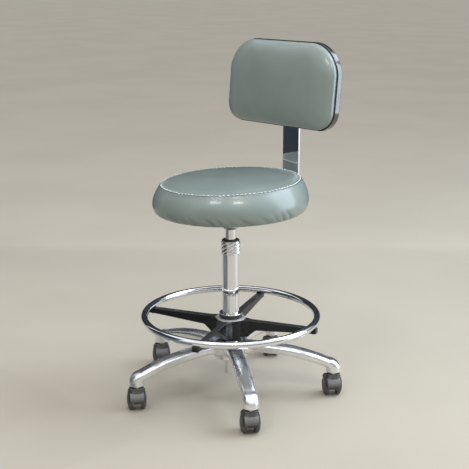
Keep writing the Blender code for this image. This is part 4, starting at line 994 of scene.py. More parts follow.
@dataclass
class Workshop:
    """Gives pieces their finish and tells the frame where they belong."""

    nodes: Mapping[str, Object]
    axis: Vector
    made: dict[str, Material] = field(default_factory=dict)
    scatter: Growth = field(default_factory=scatter_tree)

    def material(self, finish: Finish) -> Material:
        """Return a finish's material, made once.

        Args:
            finish: The finish.

        Returns:
            Its material.
        """
        if finish.name not in self.made:
            self.made[finish.name] = finish.make()
        return self.made[finish.name]

    def add(self, name: str, mesh: Mesh, finish: Finish, body: str, *nodes: str) -> Object:
        """Add one finished piece.

        Args:
            name: Name of the piece.
            mesh: Its mesh, in place.
            finish: Its finish.
            body: Body of the frame that it rides on.
            *nodes: Nodes of the frame that it stands for.

        Returns:
            The piece.
        """
        mesh.name = name
        mesh.materials.clear()
        mesh.materials.append(self.material(finish))
        piece = bpy.data.objects.new(name, mesh)
        bpy.context.scene.collection.objects.link(piece)
        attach(piece, body)
        if nodes:
            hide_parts(*nodes)
        LOG.info("%s rides on %s with %d faces", name, body, len(mesh.polygons))
        return piece

    def centred(self, mesh: Mesh) -> Mesh:
        """Move a mesh that was made about Z to the column's axis."""
        return placed(mesh, Matrix.Translation(self.axis))

    def dress(self, finish: Finish, *nodes: str) -> None:
        """Give nodes of the frame that stay in view their finish.

        Args:
            finish: The finish.
            *nodes: Names of the nodes.
        """
        for name in nodes:
            for slot in self.nodes[name].material_slots:
                slot.material = self.material(finish)
            LOG.info("%s keeps its solid in %s", name, finish.name)

    def set_on(
        self, name: str, template: Mesh, places: Sequence[Matrix], finish: Finish, body: str, *nodes: str
    ) -> Object:
        """Add copies of a template as one piece.

        Args:
            name: Name of the piece.
            template: Mesh of one copy, which is used up.
            places: Place and turn of each copy.
            finish: Their finish.
            body: Body of the frame that they ride on.
            *nodes: Nodes of the frame that they stand for.

        Returns:
            The piece.
        """
        carrier = bpy.data.meshes.new(name)
        carrier.from_pydata([place.translation for place in places], [], [])
        turn = carrier.attributes.new("turn", "FLOAT_VECTOR", "POINT")
        turn.data.foreach_set("vector", [angle for place in places for angle in place.to_euler()])
        holder = hold(template)
        values = {"Template": holder, "Size": 1.0, "Material": self.material(finish)}
        mesh = self.scatter.grow(carrier, values)
        drop(holder)
        if "turn" in mesh.attributes:
            mesh.attributes.remove(mesh.attributes["turn"])
        return self.add(name, mesh, finish, body, *nodes)


def middle(node: str) -> Vector:
    """Return the middle of a node's box."""
    low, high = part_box(node)
    return (low + high) / 2


def head_place(node: str, rise: float = 0.0) -> Matrix:
    """Return the place on a screw's axis that is so far above the lowest point of its node."""
    centre = middle(node)
    return Matrix.Translation((centre.x, centre.y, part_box(node)[0].z + rise))


def leg_angle(number: int) -> float:
    """Return the direction of a leg of the star, counted from 1."""
    return FIRST_LEG + math.tau * (number - 1) / LEGS


def pan_head(radius: float, height: float) -> Mesh:
    """Make a screw's pan head up +Z from the origin, with a cross recess.

    Args:
        radius: Radius of the head.
        height: Its height.

    Returns:
        The shaded mesh.
    """
    outline = [(0.0, 0.0), *soften([
        (radius, 0.0, 0.0), (radius, height * 0.55, height * 0.3), (radius * 0.45, height, radius * 0.5),
        (0.0, height, 0.0),
    ])[:-1], (0.0, height)]
    head = lathe("pan_head", outline, SMALL_ROUND)
    reach, slot = radius * 0.55, radius * 0.11
    bars = []
    for x, y in ((reach, slot), (slot, reach)):
        bars.append(block("recess", (-x, -y, height * 0.45), (x, y, height * 1.5)))
    return shaded(combined(head, Cut.CARVE, combined(bars[0], Cut.JOIN, bars[1])))


# Base and casters


@dataclass
class StarBase:
    """Cast and polished base: hub, five hollow legs and the stem sockets at their ends."""

    shop: Workshop
    neck_radius: float = 0.0195
    neck_bottom: float = 0.0701
    neck_chamfer: float = 0.0008
    socket_radius: float = 0.006
    socket_top: float = 0.0936
    elbow_height: float = 0.0816
    elbow_fillet: float = 0.002
    elbow_steps: int = 16
    slope: float = math.radians(22.0)
    root_width: float = 0.044
    end_width: float = 0.038
    root_depth: float = 0.027
    end_depth: float = 0.024
    root_handle: float = 0.095
    end_handle: float = 0.070
    root_flare: float = 0.007
    flare_reach: float = 0.026
    squareness: float = 3.0
    wall: float = 0.0045
    pocket_from: float = 0.30
    pocket_to: float = 0.96
    leg_top: float = 0.1436
    hub_radius: float = 0.0438
    hub_bore: float = 0.0173
    hub_top: float = 0.1451
    hub_depth: float = 0.046
    hub_edge: float = 0.0035
    root_inset: float = 0.014
    leg_steps: int = 44
    section_points: int = 44

    def _frame(self) -> tuple[Vector, list[Vector]]:
        """Return the elbow's inner corner and the control points of the leg's top line.

        Returns:
            The corner and four points, all as (radius, height).
        """
        corner = Vector((CASTER_CIRCLE - self.neck_radius - self.elbow_fillet, self.elbow_height))
        normal = Vector((math.sin(self.slope), math.cos(self.slope)))
        outward = Vector((math.cos(self.slope), -math.sin(self.slope)))
        end = corner + normal * (self.elbow_fillet + self.end_depth)
        start = Vector((self.hub_radius - self.root_inset, self.leg_top))
        flat = Vector((self.root_handle, 0.0))
        return corner, [start, start + flat, end - outward * self.end_handle, end]

    def _top(self, handles: Sequence[Vector], t: float) -> tuple[Vector, Vector]:
        """Return a point of the leg's top line and its upward normal.

        Args:
            handles: Control points of the top line.
            t: Share of the way along it.

        Returns:
            The point and the normal, as (radius, height).
        """
        a, b, c, d = handles
        point = a * (1 - t) ** 3 + b * 3 * t * (1 - t) ** 2 + c * 3 * t * t * (1 - t) + d * t ** 3
        run = ((b - a) * (1 - t) ** 2 + (c - b) * 2 * t * (1 - t) + (d - c) * t * t).normalized()
        return point, Vector((-run.y, run.x))

    def _section(
        self, centre: Vector, normal: Vector, half_width: float, half_depth: float, squareness: float
    ) -> list[Place]:
        """List the points of one rounded section of the leg.

        Args:
            centre: Middle of the section, as (radius, height).
            normal: Upward normal in the same plane.
            half_width: Half of its width.
            half_depth: Half of its depth.
            squareness: 2 for an ellipse, more for a squarer section.

        Returns:
            The points.
        """
        points = []
        for i in range(self.section_points):
            angle = math.tau * (i + 0.5) / self.section_points
            c, s = math.cos(angle), math.sin(angle)
            across, up = squared(c, s, half_width, half_depth, 2 / squareness)
            points.append((centre.x + normal.x * up, across, centre.y + normal.y * up))
        return points

    def leg(self) -> Mesh:
        """Sweep one leg along +X and hollow it from below.

        Returns:
            The mesh.
        """
        corner, handles = self._frame()
        loops = []
        for i in range(self.leg_steps):
            t = i / self.leg_steps
            point, normal = self._top(handles, t)
            near = min(max((self.hub_radius + self.flare_reach - point.x) / self.flare_reach, 0.0), 1.0)
            width = mix(self.root_width, self.end_width, t)
            width += 2 * self.root_flare * near ** 2
            depth = mix(self.root_depth, self.end_depth, t) + self.root_flare * near ** 2
            centre = point - normal * depth / 2
            loops.append(self._section(centre, normal, width / 2, depth / 2, self.squareness))
        for i in range(self.elbow_steps + 1):
            t = i / self.elbow_steps
            angle = mix(self.slope, math.pi / 2, t)
            normal = Vector((math.sin(angle), math.cos(angle)))
            half_depth = mix(self.end_depth / 2, self.neck_radius, t)
            half_width = mix(self.end_width / 2, self.neck_radius, t)
            centre = corner + normal * (self.elbow_fillet + half_depth)
            squareness = mix(self.squareness, 2.0, t)
            loops.append(self._section(centre, normal, half_width, half_depth, squareness))
        flat = Vector((1.0, 0.0))
        for rise, shrink in ((self.neck_chamfer, 0.0), (0.0, self.neck_chamfer)):
            radius = self.neck_radius - shrink
            centre = Vector((CASTER_CIRCLE, self.neck_bottom + rise))
            loops.append(self._section(centre, flat, radius, radius, 2.0))
        socket = pillar("socket", self.socket_radius, self.neck_bottom - self.wall, self.socket_top)
        shifted(socket, x=CASTER_CIRCLE)
        return combined(skin("leg", loops), Cut.CARVE, self._pocket(handles), socket)

    def _pocket(self, handles: Sequence[Vector]) -> Mesh:
        """Make the cutter that hollows one leg, leaving its top and side walls.

        Args:
            handles: Control points of the leg's top line.

        Returns:
            The cutter.
        """
        loops = []
        for i in range(self.leg_steps):
            t = self.pocket_from + (self.pocket_to - self.pocket_from) * i / (self.leg_steps - 1)
            point, normal = self._top(handles, t)
            half = mix(self.root_width, self.end_width, t) / 2 - self.wall
            below = self.root_depth + self.wall
            outline = soften([
                (-half + self.wall, -self.wall, self.wall / 2),
                (half - self.wall, -self.wall, self.wall / 2), (half, -below, 0.0), (-half, -below, 0.0),
            ])
            loops.append([
                (point.x + normal.x * up, across, point.y + normal.y * up) for across, up in outline
            ])
        return skin("pocket", loops)

    def build(self) -> None:
        """Join hub and legs into the casting."""
        low = self.hub_top - self.hub_depth
        edge = self.hub_edge
        hub = lathe("hub", soften([
            (self.hub_bore, low, edge / 4), (self.hub_radius, low, edge),
            (self.hub_radius, self.hub_top, edge), (self.hub_bore, self.hub_top, edge / 4),
        ], 6))
        leg = self.leg()
        legs = []
        for number in range(1, LEGS + 1):
            legs.append(placed(leg.copy(), Matrix.Rotation(leg_angle(number), 4, "Z")))
        bpy.data.meshes.remove(leg)
        star = shaded(self.shop.centred(combined(hub, Cut.JOIN, *legs)))
        self.shop.add("base_casting", star, ALUMINIUM, Body.BASE.value, "base_star")


@dataclass
class Caster:
    """Twin-wheel caster with a bevelled hood, its stem and two wheels."""

    shop: Workshop
    number: int
    heading: float = HEADING
    trail: float = 0.012
    wheel_radius: float = 0.025
    wheel_width: float = 0.0125
    wheel_tread: float = 0.0082
    wheel_shoulder: float = 0.006
    wheel_dome: float = 0.0025
    wheel_edge: float = 0.0016
    wheel_gap: float = 0.0008
    cap_radius: float = 0.0085
    cap_rise: float = 0.0006
    groove_radius: float = 0.0150
    groove: float = 0.0009
    axle_radius: float = 0.004
    axle_reach: float = 0.009
    web: float = 0.020
    web_hub: float = 0.010
    web_from: float = math.radians(-8.0)
    hood_inner: float = 0.027
    hood_outer: float = 0.0305
    hood_half: float = 0.0223
    hood_crown: float = 0.0172
    hood_shoulder: float = 0.0245
    hood_squareness: float = 2.8
    hood_from: float = math.radians(7.0)
    hood_to: float = math.radians(130.0)
    hood_steps: int = 40
    hood_edge: float = 0.0012
    boss_top: float = 0.0625
    boss_drop: float = 0.0175
    boss_width: float = 0.037
    boss_depth: float = 0.021
    boss_flare: float = 0.0025
    boss_squareness: float = 3.2
    boss_points: int = 48
    stem_radius: float = 0.0055
    stem_low: float = 0.0505
    stem_high: float = 0.0926
    flange_radius: float = 0.009
    flange_low: float = 0.0628
    flange_high: float = 0.0698
    stem_edge: float = 0.001
    snap_groove: float = 0.0007
    snap_place: float = 0.75
    fit: float = 0.0003
    bearing_gap: float = 0.0005
    wheel_sides: int = 72
    # painted light: hood faces that look this way, forward and up, are lightened as if lit
    painted_light_from: Place = (0.0, 0.72, 0.69)
    painted_light_span: Pair = (0.62, 0.95)

    def _matrix(self) -> Matrix:
        """Return the caster's place and heading under its leg.

        Returns:
            The move from the origin.
        """
        angle = leg_angle(self.number)
        place = self.shop.axis + Vector((math.cos(angle), math.sin(angle), 0.0)) * CASTER_CIRCLE
        return Matrix.Translation(place) @ Matrix.Rotation(self.heading - math.pi / 2, 4, "Z")

    def _at_axle(self, mesh: Mesh, side: Side = Side.RIGHT) -> Mesh:
        """Lay a mesh that was made along +Z along the axle, towards one side."""
        placed(mesh, Matrix.Rotation(side.value * math.pi / 2, 4, "Y"))
        return shifted(mesh, y=-self.trail, z=self.wheel_radius)

    def _sector(
        self, name: str, section: Sequence[Pair], start: float, stop: float, squareness: float = 2.0
    ) -> Mesh:
        """Sweep a section of (x, radius) points about the axle, boxier with more squareness.

        Args:
            name: Name of the mesh.
            section: Points of (x, radius).
            start: Angle where it starts.
            stop: Angle where it ends.
            squareness: 2 for a round sweep, more for a boxier one.

        Returns:
            A closed mesh.
        """
        loops = []
        for i in range(self.hood_steps + 1):
            angle = start + (stop - start) * i / self.hood_steps
            c, s = math.cos(angle), math.sin(angle)
            reach = (abs(c) ** squareness + abs(s) ** squareness) ** (-1 / squareness)
            loops.append([
                (x, r * reach * c - self.trail, r * reach * s + self.wheel_radius) for x, r in section
            ])
        return skin(name, loops)

    def hood(self) -> Mesh:
        """Make the cover over both wheels, the web between them and the boss of the stem.

        Returns:
            The mesh.
        """
        half, crown, shoulder, outer = self.hood_half, self.hood_crown, self.hood_shoulder, self.hood_outer
        inside, flank, edge = self.axle_radius / 2, self.web / 2 - self.fit, self.hood_edge
        cover = self._sector("cover", soften([
            (-half, inside, 0.0), (half, inside, 0.0), (half, shoulder, edge), (crown, outer, edge),
            (-crown, outer, edge), (-half, shoulder, edge),
        ]), self.hood_from, self.hood_to, self.hood_squareness)
        web = self._sector("web", [
            (-flank, inside), (flank, inside), (flank, self.hood_inner), (-flank, self.hood_inner),
        ], self.web_from, self.hood_from - self.web_from)
        hub = self._at_axle(pillar("web_hub", self.web_hub, -self.web / 2, self.web / 2))
        boss_loops = []
        edge = self.boss_drop / 16
        grows = (
            (self.boss_drop, self.boss_flare), (edge, edge / 8), (edge / 3, -edge / 3), (0.0, -edge),
        )
        for down, grow in grows:
            wide, deep = self.boss_width / 2 + grow, self.boss_depth / 2 + grow / 2
            boss_loops.append([
                (*squared(c, s, wide, deep, 2 / self.boss_squareness), self.boss_top - down)
                for c, s in circle_section(1.0, self.boss_points)
            ])
        solid = combined(cover, Cut.JOIN, web, hub, skin("boss", boss_loops))
        far = half * 2
        inner, low = self.hood_inner, self.web / 2 + self.wheel_gap
        step = inner - self.wheel_shoulder
        profile = [
            (0.0, self.web / 2), (inner, self.web / 2), (inner, low + self.wheel_tread),
            (step, low + self.wheel_width), (step, far), (0.0, far),
        ]
        wells = [self._at_axle(lathe("well", profile, self.wheel_sides), side) for side in Side]
        axle = self._at_axle(pillar("axle_hole", self.axle_radius + self.fit, -far, far))
        stem = pillar("stem_hole", self.stem_radius + self.fit, self.stem_low - self.fit, self.boss_top * 2)
        hollow = combined(solid, Cut.CARVE, *wells, axle, stem)
        # faces that look forward and up get painted light
        return with_painted_light(bevelled(hollow, width=0.0005), self._painted_front_light)

    def _painted_front_light(self, centres: np.ndarray, normals: np.ndarray) -> np.ndarray:
        """Return how much painted light the hood's faces get: those that look forward and up, outside the
        wheels.

        Args:
            centres: Middles of the faces.
            normals: Their normals.

        Returns:
            A number from 0 to 1 for each face.
        """
        away = np.hypot(centres[:, 1] + self.trail, centres[:, 2] - self.wheel_radius)
        ahead = normals @ np.array(self.painted_light_from)
        return smooth_step(ahead, *self.painted_light_span) * (away > self.hood_inner - self.fit)

    def stem(self) -> Mesh:
        """Turn the stem with its flange and its snap groove.

        Returns:
            The mesh.
        """
        tip, groove, radius = self.stem_edge, self.snap_groove, self.stem_radius
        ring = mix(self.flange_high, self.stem_high, self.snap_place)
        return shaded(lathe("stem", soften([
            (0.0, self.stem_low, 0.0), (radius, self.stem_low, tip), (radius, self.flange_low, 0.0),
            (self.flange_radius, self.flange_low, tip / 2), (self.flange_radius, self.flange_high, tip),
            (radius, self.flange_high, 0.0), (radius, ring, 0.0),
            (radius - groove, ring + groove, 0.0), (radius - groove, ring + 3 * groove, 0.0),
            (radius, ring + 4 * groove, 0.0), (radius, self.stem_high, tip), (0.0, self.stem_high, 0.0),
        ]), SMALL_ROUND))

    def wheel(self, side: Side) -> Mesh:
        """Turn one wheel with a blind bore, a rounded tread, a grooved face and a cap.

        Args:
            side: Which of the two wheels.

        Returns:
            The mesh.
        """
        bore = self.axle_radius + self.bearing_gap
        depth = self.axle_reach + self.bearing_gap
        width, edge, groove = self.wheel_width, self.wheel_edge, self.groove
        radius = self.wheel_radius
        outline = soften([
            (0.0, depth, 0.0), (bore, depth, 0.0), (bore, 0.0, 0.0), (radius - edge / 2, 0.0, edge / 3),
            (radius, edge, edge), (radius, self.wheel_tread, edge),
            (radius - self.wheel_shoulder, width, edge),
            (self.groove_radius, width + self.wheel_dome * 0.2, groove / 3),
            (self.groove_radius - groove, width - groove, groove / 3),
            (self.groove_radius - 2 * groove, width + self.wheel_dome * 0.35, groove / 3),
            (self.cap_radius + self.cap_rise, width + self.wheel_dome * 0.55, 0.0),
            (self.cap_radius, width + self.wheel_dome * 0.55 + self.cap_rise, self.cap_rise),
            (0.0, width + self.wheel_dome, 0.0),
        ])
        wheel = shifted(lathe("wheel", outline, self.wheel_sides), z=self.web / 2 + self.wheel_gap)
        return shaded(self._at_axle(wheel, side))

    def build(self) -> None:
        """Add the caster's pieces at its leg."""
        name = f"caster_{self.number}"
        matrix = self._matrix()
        self.shop.add(f"{name}_cover", placed(self.hood(), matrix), NYLON, name, f"{name}_hood")
        self.shop.add(f"{name}_pin", placed(self.stem(), matrix), ZINC, name, f"{name}_stem")
        self.shop.dress(ZINC, f"{name}_axle")
        for side in Side:
            word = side.name.lower()
            wheel = placed(self.wheel(side), matrix)
            self.shop.add(f"{name}_tread_{word}", wheel, WHEEL, f"{name}_{word}", f"{name}_wheel_{word}")


# Column and foot ring


@dataclass
class Column:
    """Chrome column with its ribbed collar and guide bush, and the gas cylinder that runs in it."""

    shop: Workshop
    radius: float = 0.02225
    bore: float = 0.01975
    low: float = 0.1454
    top: float = 0.4204
    spigot_radius: float = 0.017
    spigot_bore: float = 0.0148
    spigot_low: float = 0.0529
    spigot_floor: float = 0.004
    rod_hole: float = 0.0045
    collar_low: float = 0.3834
    collar_inner: float = 0.02255
    collar_wall: float = 0.001
    rib: float = 0.0014
    ribs: int = 8
    twist: float = math.radians(160.0)
    collar_rows: int = 56
    collar_sides: int = 192
    bush_bore: float = 0.0145
    bush_wall: float = 0.01945
    bush_length: float = 0.080
    bush_top: float = 0.4230
    cylinder_radius: float = 0.014
    cylinder_low: float = 0.2149
    cylinder_high: float = 0.4879
    rod_bore: float = 0.0055
    edge: float = 0.0008
    gap: float = 0.0003

    def _centred(self, mesh: Mesh) -> Mesh:
        """Move a turned mesh to the column's axis and shade it."""
        return shaded(self.shop.centred(mesh))

    def collar(self) -> Mesh:
        """Grow spiral ribs on a plain sleeve.

        Returns:
            The mesh.
        """
        outer, inner = self.collar_inner + self.collar_wall, self.collar_inner
        length, rows = self.top - self.collar_low, self.collar_rows
        wall = [(outer, self.collar_low + length * i / rows) for i in range(rows + 1)]
        sleeve = lathe("sleeve", [(inner, self.collar_low), *wall, (inner, self.top)], self.collar_sides)
        mesh = spiral_tree().grow(self.shop.centred(sleeve), {
            "Axis": self.shop.axis, "Ribs": float(self.ribs), "Rib Height": self.rib, "Twist": self.twist,
            "Foot": self.collar_low, "Length": length, "Wall Radius": (inner + outer) / 2,
            "Material": self.shop.material(SATIN),
        })
        return shaded(mesh)

    def build(self) -> None:
        """Add column, collar, bush and cylinder, and dress what is inside them."""
        edge = self.edge
        step = self.low + self.radius - self.bore
        floor = self.spigot_low + self.spigot_floor
        column = lathe("column", soften([
            (self.rod_hole, self.spigot_low, 0.0), (self.spigot_radius, self.spigot_low, 2 * edge),
            (self.spigot_radius, self.low, 0.0), (self.radius, self.low, edge),
            (self.radius, self.top, edge), (self.bore, self.top, 0.0), (self.bore, step, 0.0),
            (self.spigot_bore, step, 0.0), (self.spigot_bore, floor, 0.0), (self.rod_hole, floor, 0.0),
        ]))
        self.shop.add("column", self._centred(column), CHROME, Body.BASE.value, "column_tube")
        self.shop.add("ribbed_collar", self.collar(), SATIN, Body.BASE.value, "column_collar")
        rim, foot = self.top + self.gap, self.top - self.bush_length
        bush = lathe("bush", soften([
            (self.bush_bore, foot, 0.0), (self.bush_wall, foot, 0.0), (self.bush_wall, rim, 0.0),
            (self.radius, rim, edge / 4), (self.radius, self.bush_top, edge * 1.5),
            (self.bush_bore, self.bush_top, edge),
        ]))
        self.shop.add("bush", self._centred(bush), KNOB_NYLON, Body.BASE.value, "guide_bush")
        cylinder = lathe("cylinder", soften([
            (self.rod_bore, self.cylinder_low, 0.0), (self.cylinder_radius, self.cylinder_low, 2 * edge),
            (self.cylinder_radius, self.cylinder_high, edge), (self.rod_bore, self.cylinder_high, 0.0),
        ]))
        self.shop.add("gas_spring_tube", self._centred(cylinder), CHROME, Body.SEAT.value, "gas_cylinder")
        self.shop.dress(ZINC, "piston_rod", "rod_clip", "thrust_bearing")


@dataclass
class FootRing:
    """Chrome foot ring on a black four-armed spider that a collet holds on the column."""

    shop: Workshop
    ring_radius: float = 0.2286
    tube: float = 0.0095
    height: float = 0.2149
    bore: float = 0.02755
    hub_radius: float = 0.03805
    hub_low: float = 0.1454
    top: float = 0.2079
    crown: float = 0.2099
    arms: int = 4
    first_angle: float = math.radians(23.6)
    arm_width: float = 0.018
    root_depth: float = 0.046
    neck_depth: float = 0.026
    tip_depth: float = 0.0145
    root_width: float = 0.036
    root_reach: float = 0.019
    step_from: float = 0.013
    step_to: float = 0.035
    tip: float = 0.2391
    arm_steps: int = 84
    edge: float = 0.0022
    gap: float = 0.0003
    collet_bore: float = 0.02275
    collet_radius: float = 0.02725
    collet_low: float = 0.1549
    step_radius: float = 0.030
    step_low: float = 0.2102
    step_top: float = 0.2212
    rim_radius: float = 0.0305
    rim_top: float = 0.2232
    screw_head: float = 0.005
    screw_height: float = 0.0028
    # heights of the normals on the hub's top edge that get the painted highlight
    rubbed_and_highlight: Pair = (0.20, 0.60)

    def _tube(self, grow: float) -> Mesh:
        """Run a tube round the ring's circle, or its cutter when grown.

        Args:
            grow: How much thicker than the tube it is.

        Returns:
            The mesh.
        """
        empty = bpy.data.meshes.new("carrier")
        values = {
            "Ring Radius": self.ring_radius, "Tube Radius": self.tube + grow,
            "Centre": (0.0, 0.0, self.height), "Material": self.shop.material(CHROME),
        }
        return faced_out(ring_tree().grow(empty, values))

    def arm(self) -> Mesh:
        """Loft one arm along +X, deep and wide at the hub and slim under the ring.

        Returns:
            The mesh.
        """
        inside = (self.bore + self.hub_radius) / 2
        saddle = self.ring_radius - self.tube
        stops = [inside, self.hub_radius + self.step_from, self.hub_radius + self.step_to, saddle]
        depths = [self.root_depth, self.root_depth, self.neck_depth, self.tip_depth]
        root, widths = [inside, self.hub_radius + self.root_reach], [self.root_width, self.arm_width]
        loops = []
        for i in range(self.arm_steps + 1):
            x = inside + (self.tip - inside) * i / self.arm_steps
            depth = float(np.interp(x, stops, depths))
            shrink = self.edge * max(0.0, 1 - (self.tip - x) / self.edge) ** 2 / 2
            half = float(np.interp(x, root, widths)) / 2 - shrink
            low, high = self.top - depth + shrink, self.top - shrink
            corners = ((-half, low), (half, low), (half, high), (-half, high))
            loops.append([(x, y, z) for y, z in soften([(*corner, self.edge) for corner in corners])])
        return skin("arm", loops)

    def _painted_top_highlight(self, centres: np.ndarray, normals: np.ndarray) -> np.ndarray:
        """Return how much painted highlight the spider's faces get: the hub's top edge, round the collet.

        Args:
            centres: Middles of the faces.
            normals: Their normals.

        Returns:
            A number from 0 to 1 for each face.
        """
        away = np.hypot(centres[:, 0], centres[:, 1])
        top = (centres[:, 2] > self.top - self.edge) & (away < self.hub_radius + self.edge / 4)
        return smooth_step(normals[:, 2], *self.rubbed_and_highlight) * top

    def build(self) -> None:
        """Add ring, spider, collet and screws."""
        centred = self.shop.centred
        angles = [self.first_angle + math.tau * i / self.arms for i in range(self.arms)]
        hub = lathe("hub", soften([
            (self.bore, self.hub_low, 0.0), (self.hub_radius, self.hub_low, self.edge),
            (self.hub_radius, self.top, self.edge),
            (self.hub_radius - self.edge, self.crown, self.edge / 2),
            (self.bore, self.crown, self.edge / 4),
        ]))
        arms = [placed(self.arm(), Matrix.Rotation(angle, 4, "Z")) for angle in angles]
        spider = combined(combined(hub, Cut.JOIN, *arms), Cut.CARVE, self._tube(self.gap))
        # the hub's top edge gets a painted highlight
        spider = centred(with_painted_light(shaded(spider), self._painted_top_highlight))
        self.shop.add("spider", spider, CASTING, Body.RING.value, "ring_spider")
        tube = centred(shaded(self._tube(0.0)))
        self.shop.add("ring_tube", tube, CHROME, Body.RING.value, "foot_ring")
        small = self.edge / 3
        sleeve = lathe("sleeve", soften([
            (self.collet_bore, self.collet_low, small), (self.collet_radius, self.collet_low, small),
            (self.collet_radius, self.step_low, 0.0), (self.step_radius, self.step_low, small),
            (self.step_radius, self.step_top, self.edge), (self.collet_bore, self.step_top, 0.0),
        ]))
        self.shop.add("collet_sleeve", centred(shaded(sleeve)), MOULDING, Body.RING.value, "ring_collet")
        rim = lathe("rim", soften([
            (self.collet_bore, self.step_top, 0.0), (self.rim_radius, self.step_top, 0.0),
            (self.rim_radius, self.rim_top, small), (self.collet_bore, self.rim_top, small),
        ], 6))
        self.shop.add("collet_rim", centred(shaded(rim)), CHROME, Body.RING.value, "ring_collet")
        down = Matrix.Rotation(math.pi, 4, "X")
        nodes = [f"ring_screw_{i + 1}" for i in range(self.arms)]
        places = [head_place(node, self.screw_height) @ down for node in nodes]
        head = pan_head(self.screw_head, self.screw_height)
        self.shop.set_on("ring_screws", head, places, ZINC, Body.RING.value, *nodes)


# Padded pieces


@dataclass
class Hide:
    """Skin of a padded piece as rows of points that run from a first pole to a last one."""

    points: np.ndarray
    first: np.ndarray
    last: np.ndarray

    def normals(self) -> np.ndarray:
        """Return the outward normal at each point.

        Returns:
            One unit vector for each point.
        """
        before = np.concatenate([self.points[:1], self.points[:-1]])
        after = np.concatenate([self.points[1:], self.points[-1:]])
        round_it = np.roll(self.points, -1, axis=1) - np.roll(self.points, 1, axis=1)
        normal = np.cross(after - before, round_it)
        return normal / np.maximum(np.linalg.norm(normal, axis=2, keepdims=True), TINY)

    def mesh(self, name: str, numbers: Mapping[str, np.ndarray] | None = None) -> Mesh:
        """Make a closed mesh.

        Args:
            name: Name of the mesh.
            numbers: Numbers to keep on the points, by attribute name.

        Returns:
            The mesh, shaded smooth.
        """
        rows, count = self.points.shape[:2]
        places = np.concatenate([self.points.reshape(-1, 3), self.first[None], self.last[None]])
        index = np.arange(rows * count).reshape(rows, count)
        beside = np.roll(index, -1, axis=1)
        quads = np.stack([index[:-1], index[1:], beside[1:], beside[:-1]], axis=-1).reshape(-1, 4)
        top, bottom = rows * count, rows * count + 1
        faces = [tuple(face) for face in quads.tolist()]
        faces += [(top, i, j) for i, j in zip(index[0].tolist(), beside[0].tolist())]
        faces += [(bottom, j, i) for i, j in zip(index[-1].tolist(), beside[-1].tolist())]
        mesh = bpy.data.meshes.new(name)
        mesh.from_pydata(places.tolist(), [], faces)
        for key, values in (numbers or {}).items():
            kept = mesh.attributes.new(key, "FLOAT", "POINT")
            kept.data.foreach_set("value", np.append(values.reshape(-1), [0.0, 0.0]))
        mesh.shade_smooth()
        return mesh


def between(table: np.ndarray, places: np.ndarray, wrap: bool) -> np.ndarray:
    """Read a table along its first axis at fractional places, smoothly.

    Args:
        table: Rows of numbers.
        places: Fractional row numbers.
        wrap: Whether the rows run round.

    Returns:
        One row for each place.
    """
    base = np.floor(places).astype(int)
    t = (places - base).reshape(-1, *([1] * (table.ndim - 1)))

    def pick(step: int) -> np.ndarray:
        """Return the rows at a step from each place."""
        index = base + step
        return table[index % len(table) if wrap else np.clip(index, 0, len(table) - 1)]

    a, b, c, d = (pick(step) for step in (-1, 0, 1, 2))
    return b + 0.5 * t * (c - a + t * (2 * a - 5 * b + 4 * c - d + t * (3 * (b - c) + d - a)))


def smooth_step(values: np.ndarray, low: float, high: float) -> np.ndarray:
    """Rise smoothly from 0 to 1 between two values."""
    t = np.clip((values - low) / (high - low), 0.0, 1.0)
    return t * t * (3 - 2 * t)


def bell(values: np.ndarray, width: float) -> np.ndarray:
    """Fall off smoothly from 1 at zero."""
    return np.exp(-(values / width) ** 2)


@dataclass(frozen=True)
class Pump:
    """Swells a coarse hide with Blender's cloth."""

    pressure: float = 4.0
    frames: int = 20
    stiffness: float = 12.0
    bending: float = 1.5
    blur: int = 2
    quality: int = 5
    mass: float = 0.3

    def swell(self, hide: Hide, free: np.ndarray, cap: np.ndarray) -> np.ndarray:
        """Run the cloth and return how far each point moved.

        Args:
            hide: The coarse hide.
            free: For each row, 0 where it is sewn or tucked down and 1 where it is free.
            cap: For each row, the furthest that a point may move.

        Returns:
            The moves, one for each point of the hide.
        """
        holder = hold(hide.mesh("swelling"))
        rows, count = hide.points.shape[:2]
        held = holder.vertex_groups.new(name="held")
        for row in np.flatnonzero(free == 0):
            held.add(list(range(row * count, (row + 1) * count)), 1.0, "REPLACE")
        if free[-1] == 0:
            held.add([rows * count + 1], 1.0, "REPLACE")
        cloth = holder.modifiers.new("swell", "CLOTH")
        cloth.point_cache.frame_end = self.frames
        settings = cloth.settings
        settings.quality = self.quality
        settings.mass = self.mass
        settings.tension_stiffness = self.stiffness
        settings.compression_stiffness = self.stiffness
        settings.shear_stiffness = self.stiffness / 2
        settings.bending_stiffness = self.bending
        settings.vertex_group_mass = held.name
        settings.use_pressure = True
        settings.uniform_pressure_force = self.pressure
        settings.effector_weights.gravity = 0.0
        scene = bpy.context.scene
        for frame in range(1, self.frames + 1):
            scene.frame_set(frame)
        result = evaluated(holder)
        places = np.empty(len(result.vertices) * 3)
        result.vertices.foreach_get("co", places)
        scene.frame_set(1)
        drop(holder)
        bpy.data.meshes.remove(result)
        move = places.reshape(-1, 3)[: rows * count].reshape(rows, count, 3) - hide.points
        for _ in range(self.blur):
            move = blurred(move, axis=1)
            upper = np.concatenate([move[:1], move[:-1]])
            lower = np.concatenate([move[1:], move[-1:]])
            move = (upper + 2 * move + lower) / 4
        length = np.linalg.norm(move, axis=2, keepdims=True)
        limit = cap[:, None, None]
        share = np.where(length > limit, limit / np.maximum(length, TINY), 1.0)
        return move * free[:, None, None] * share


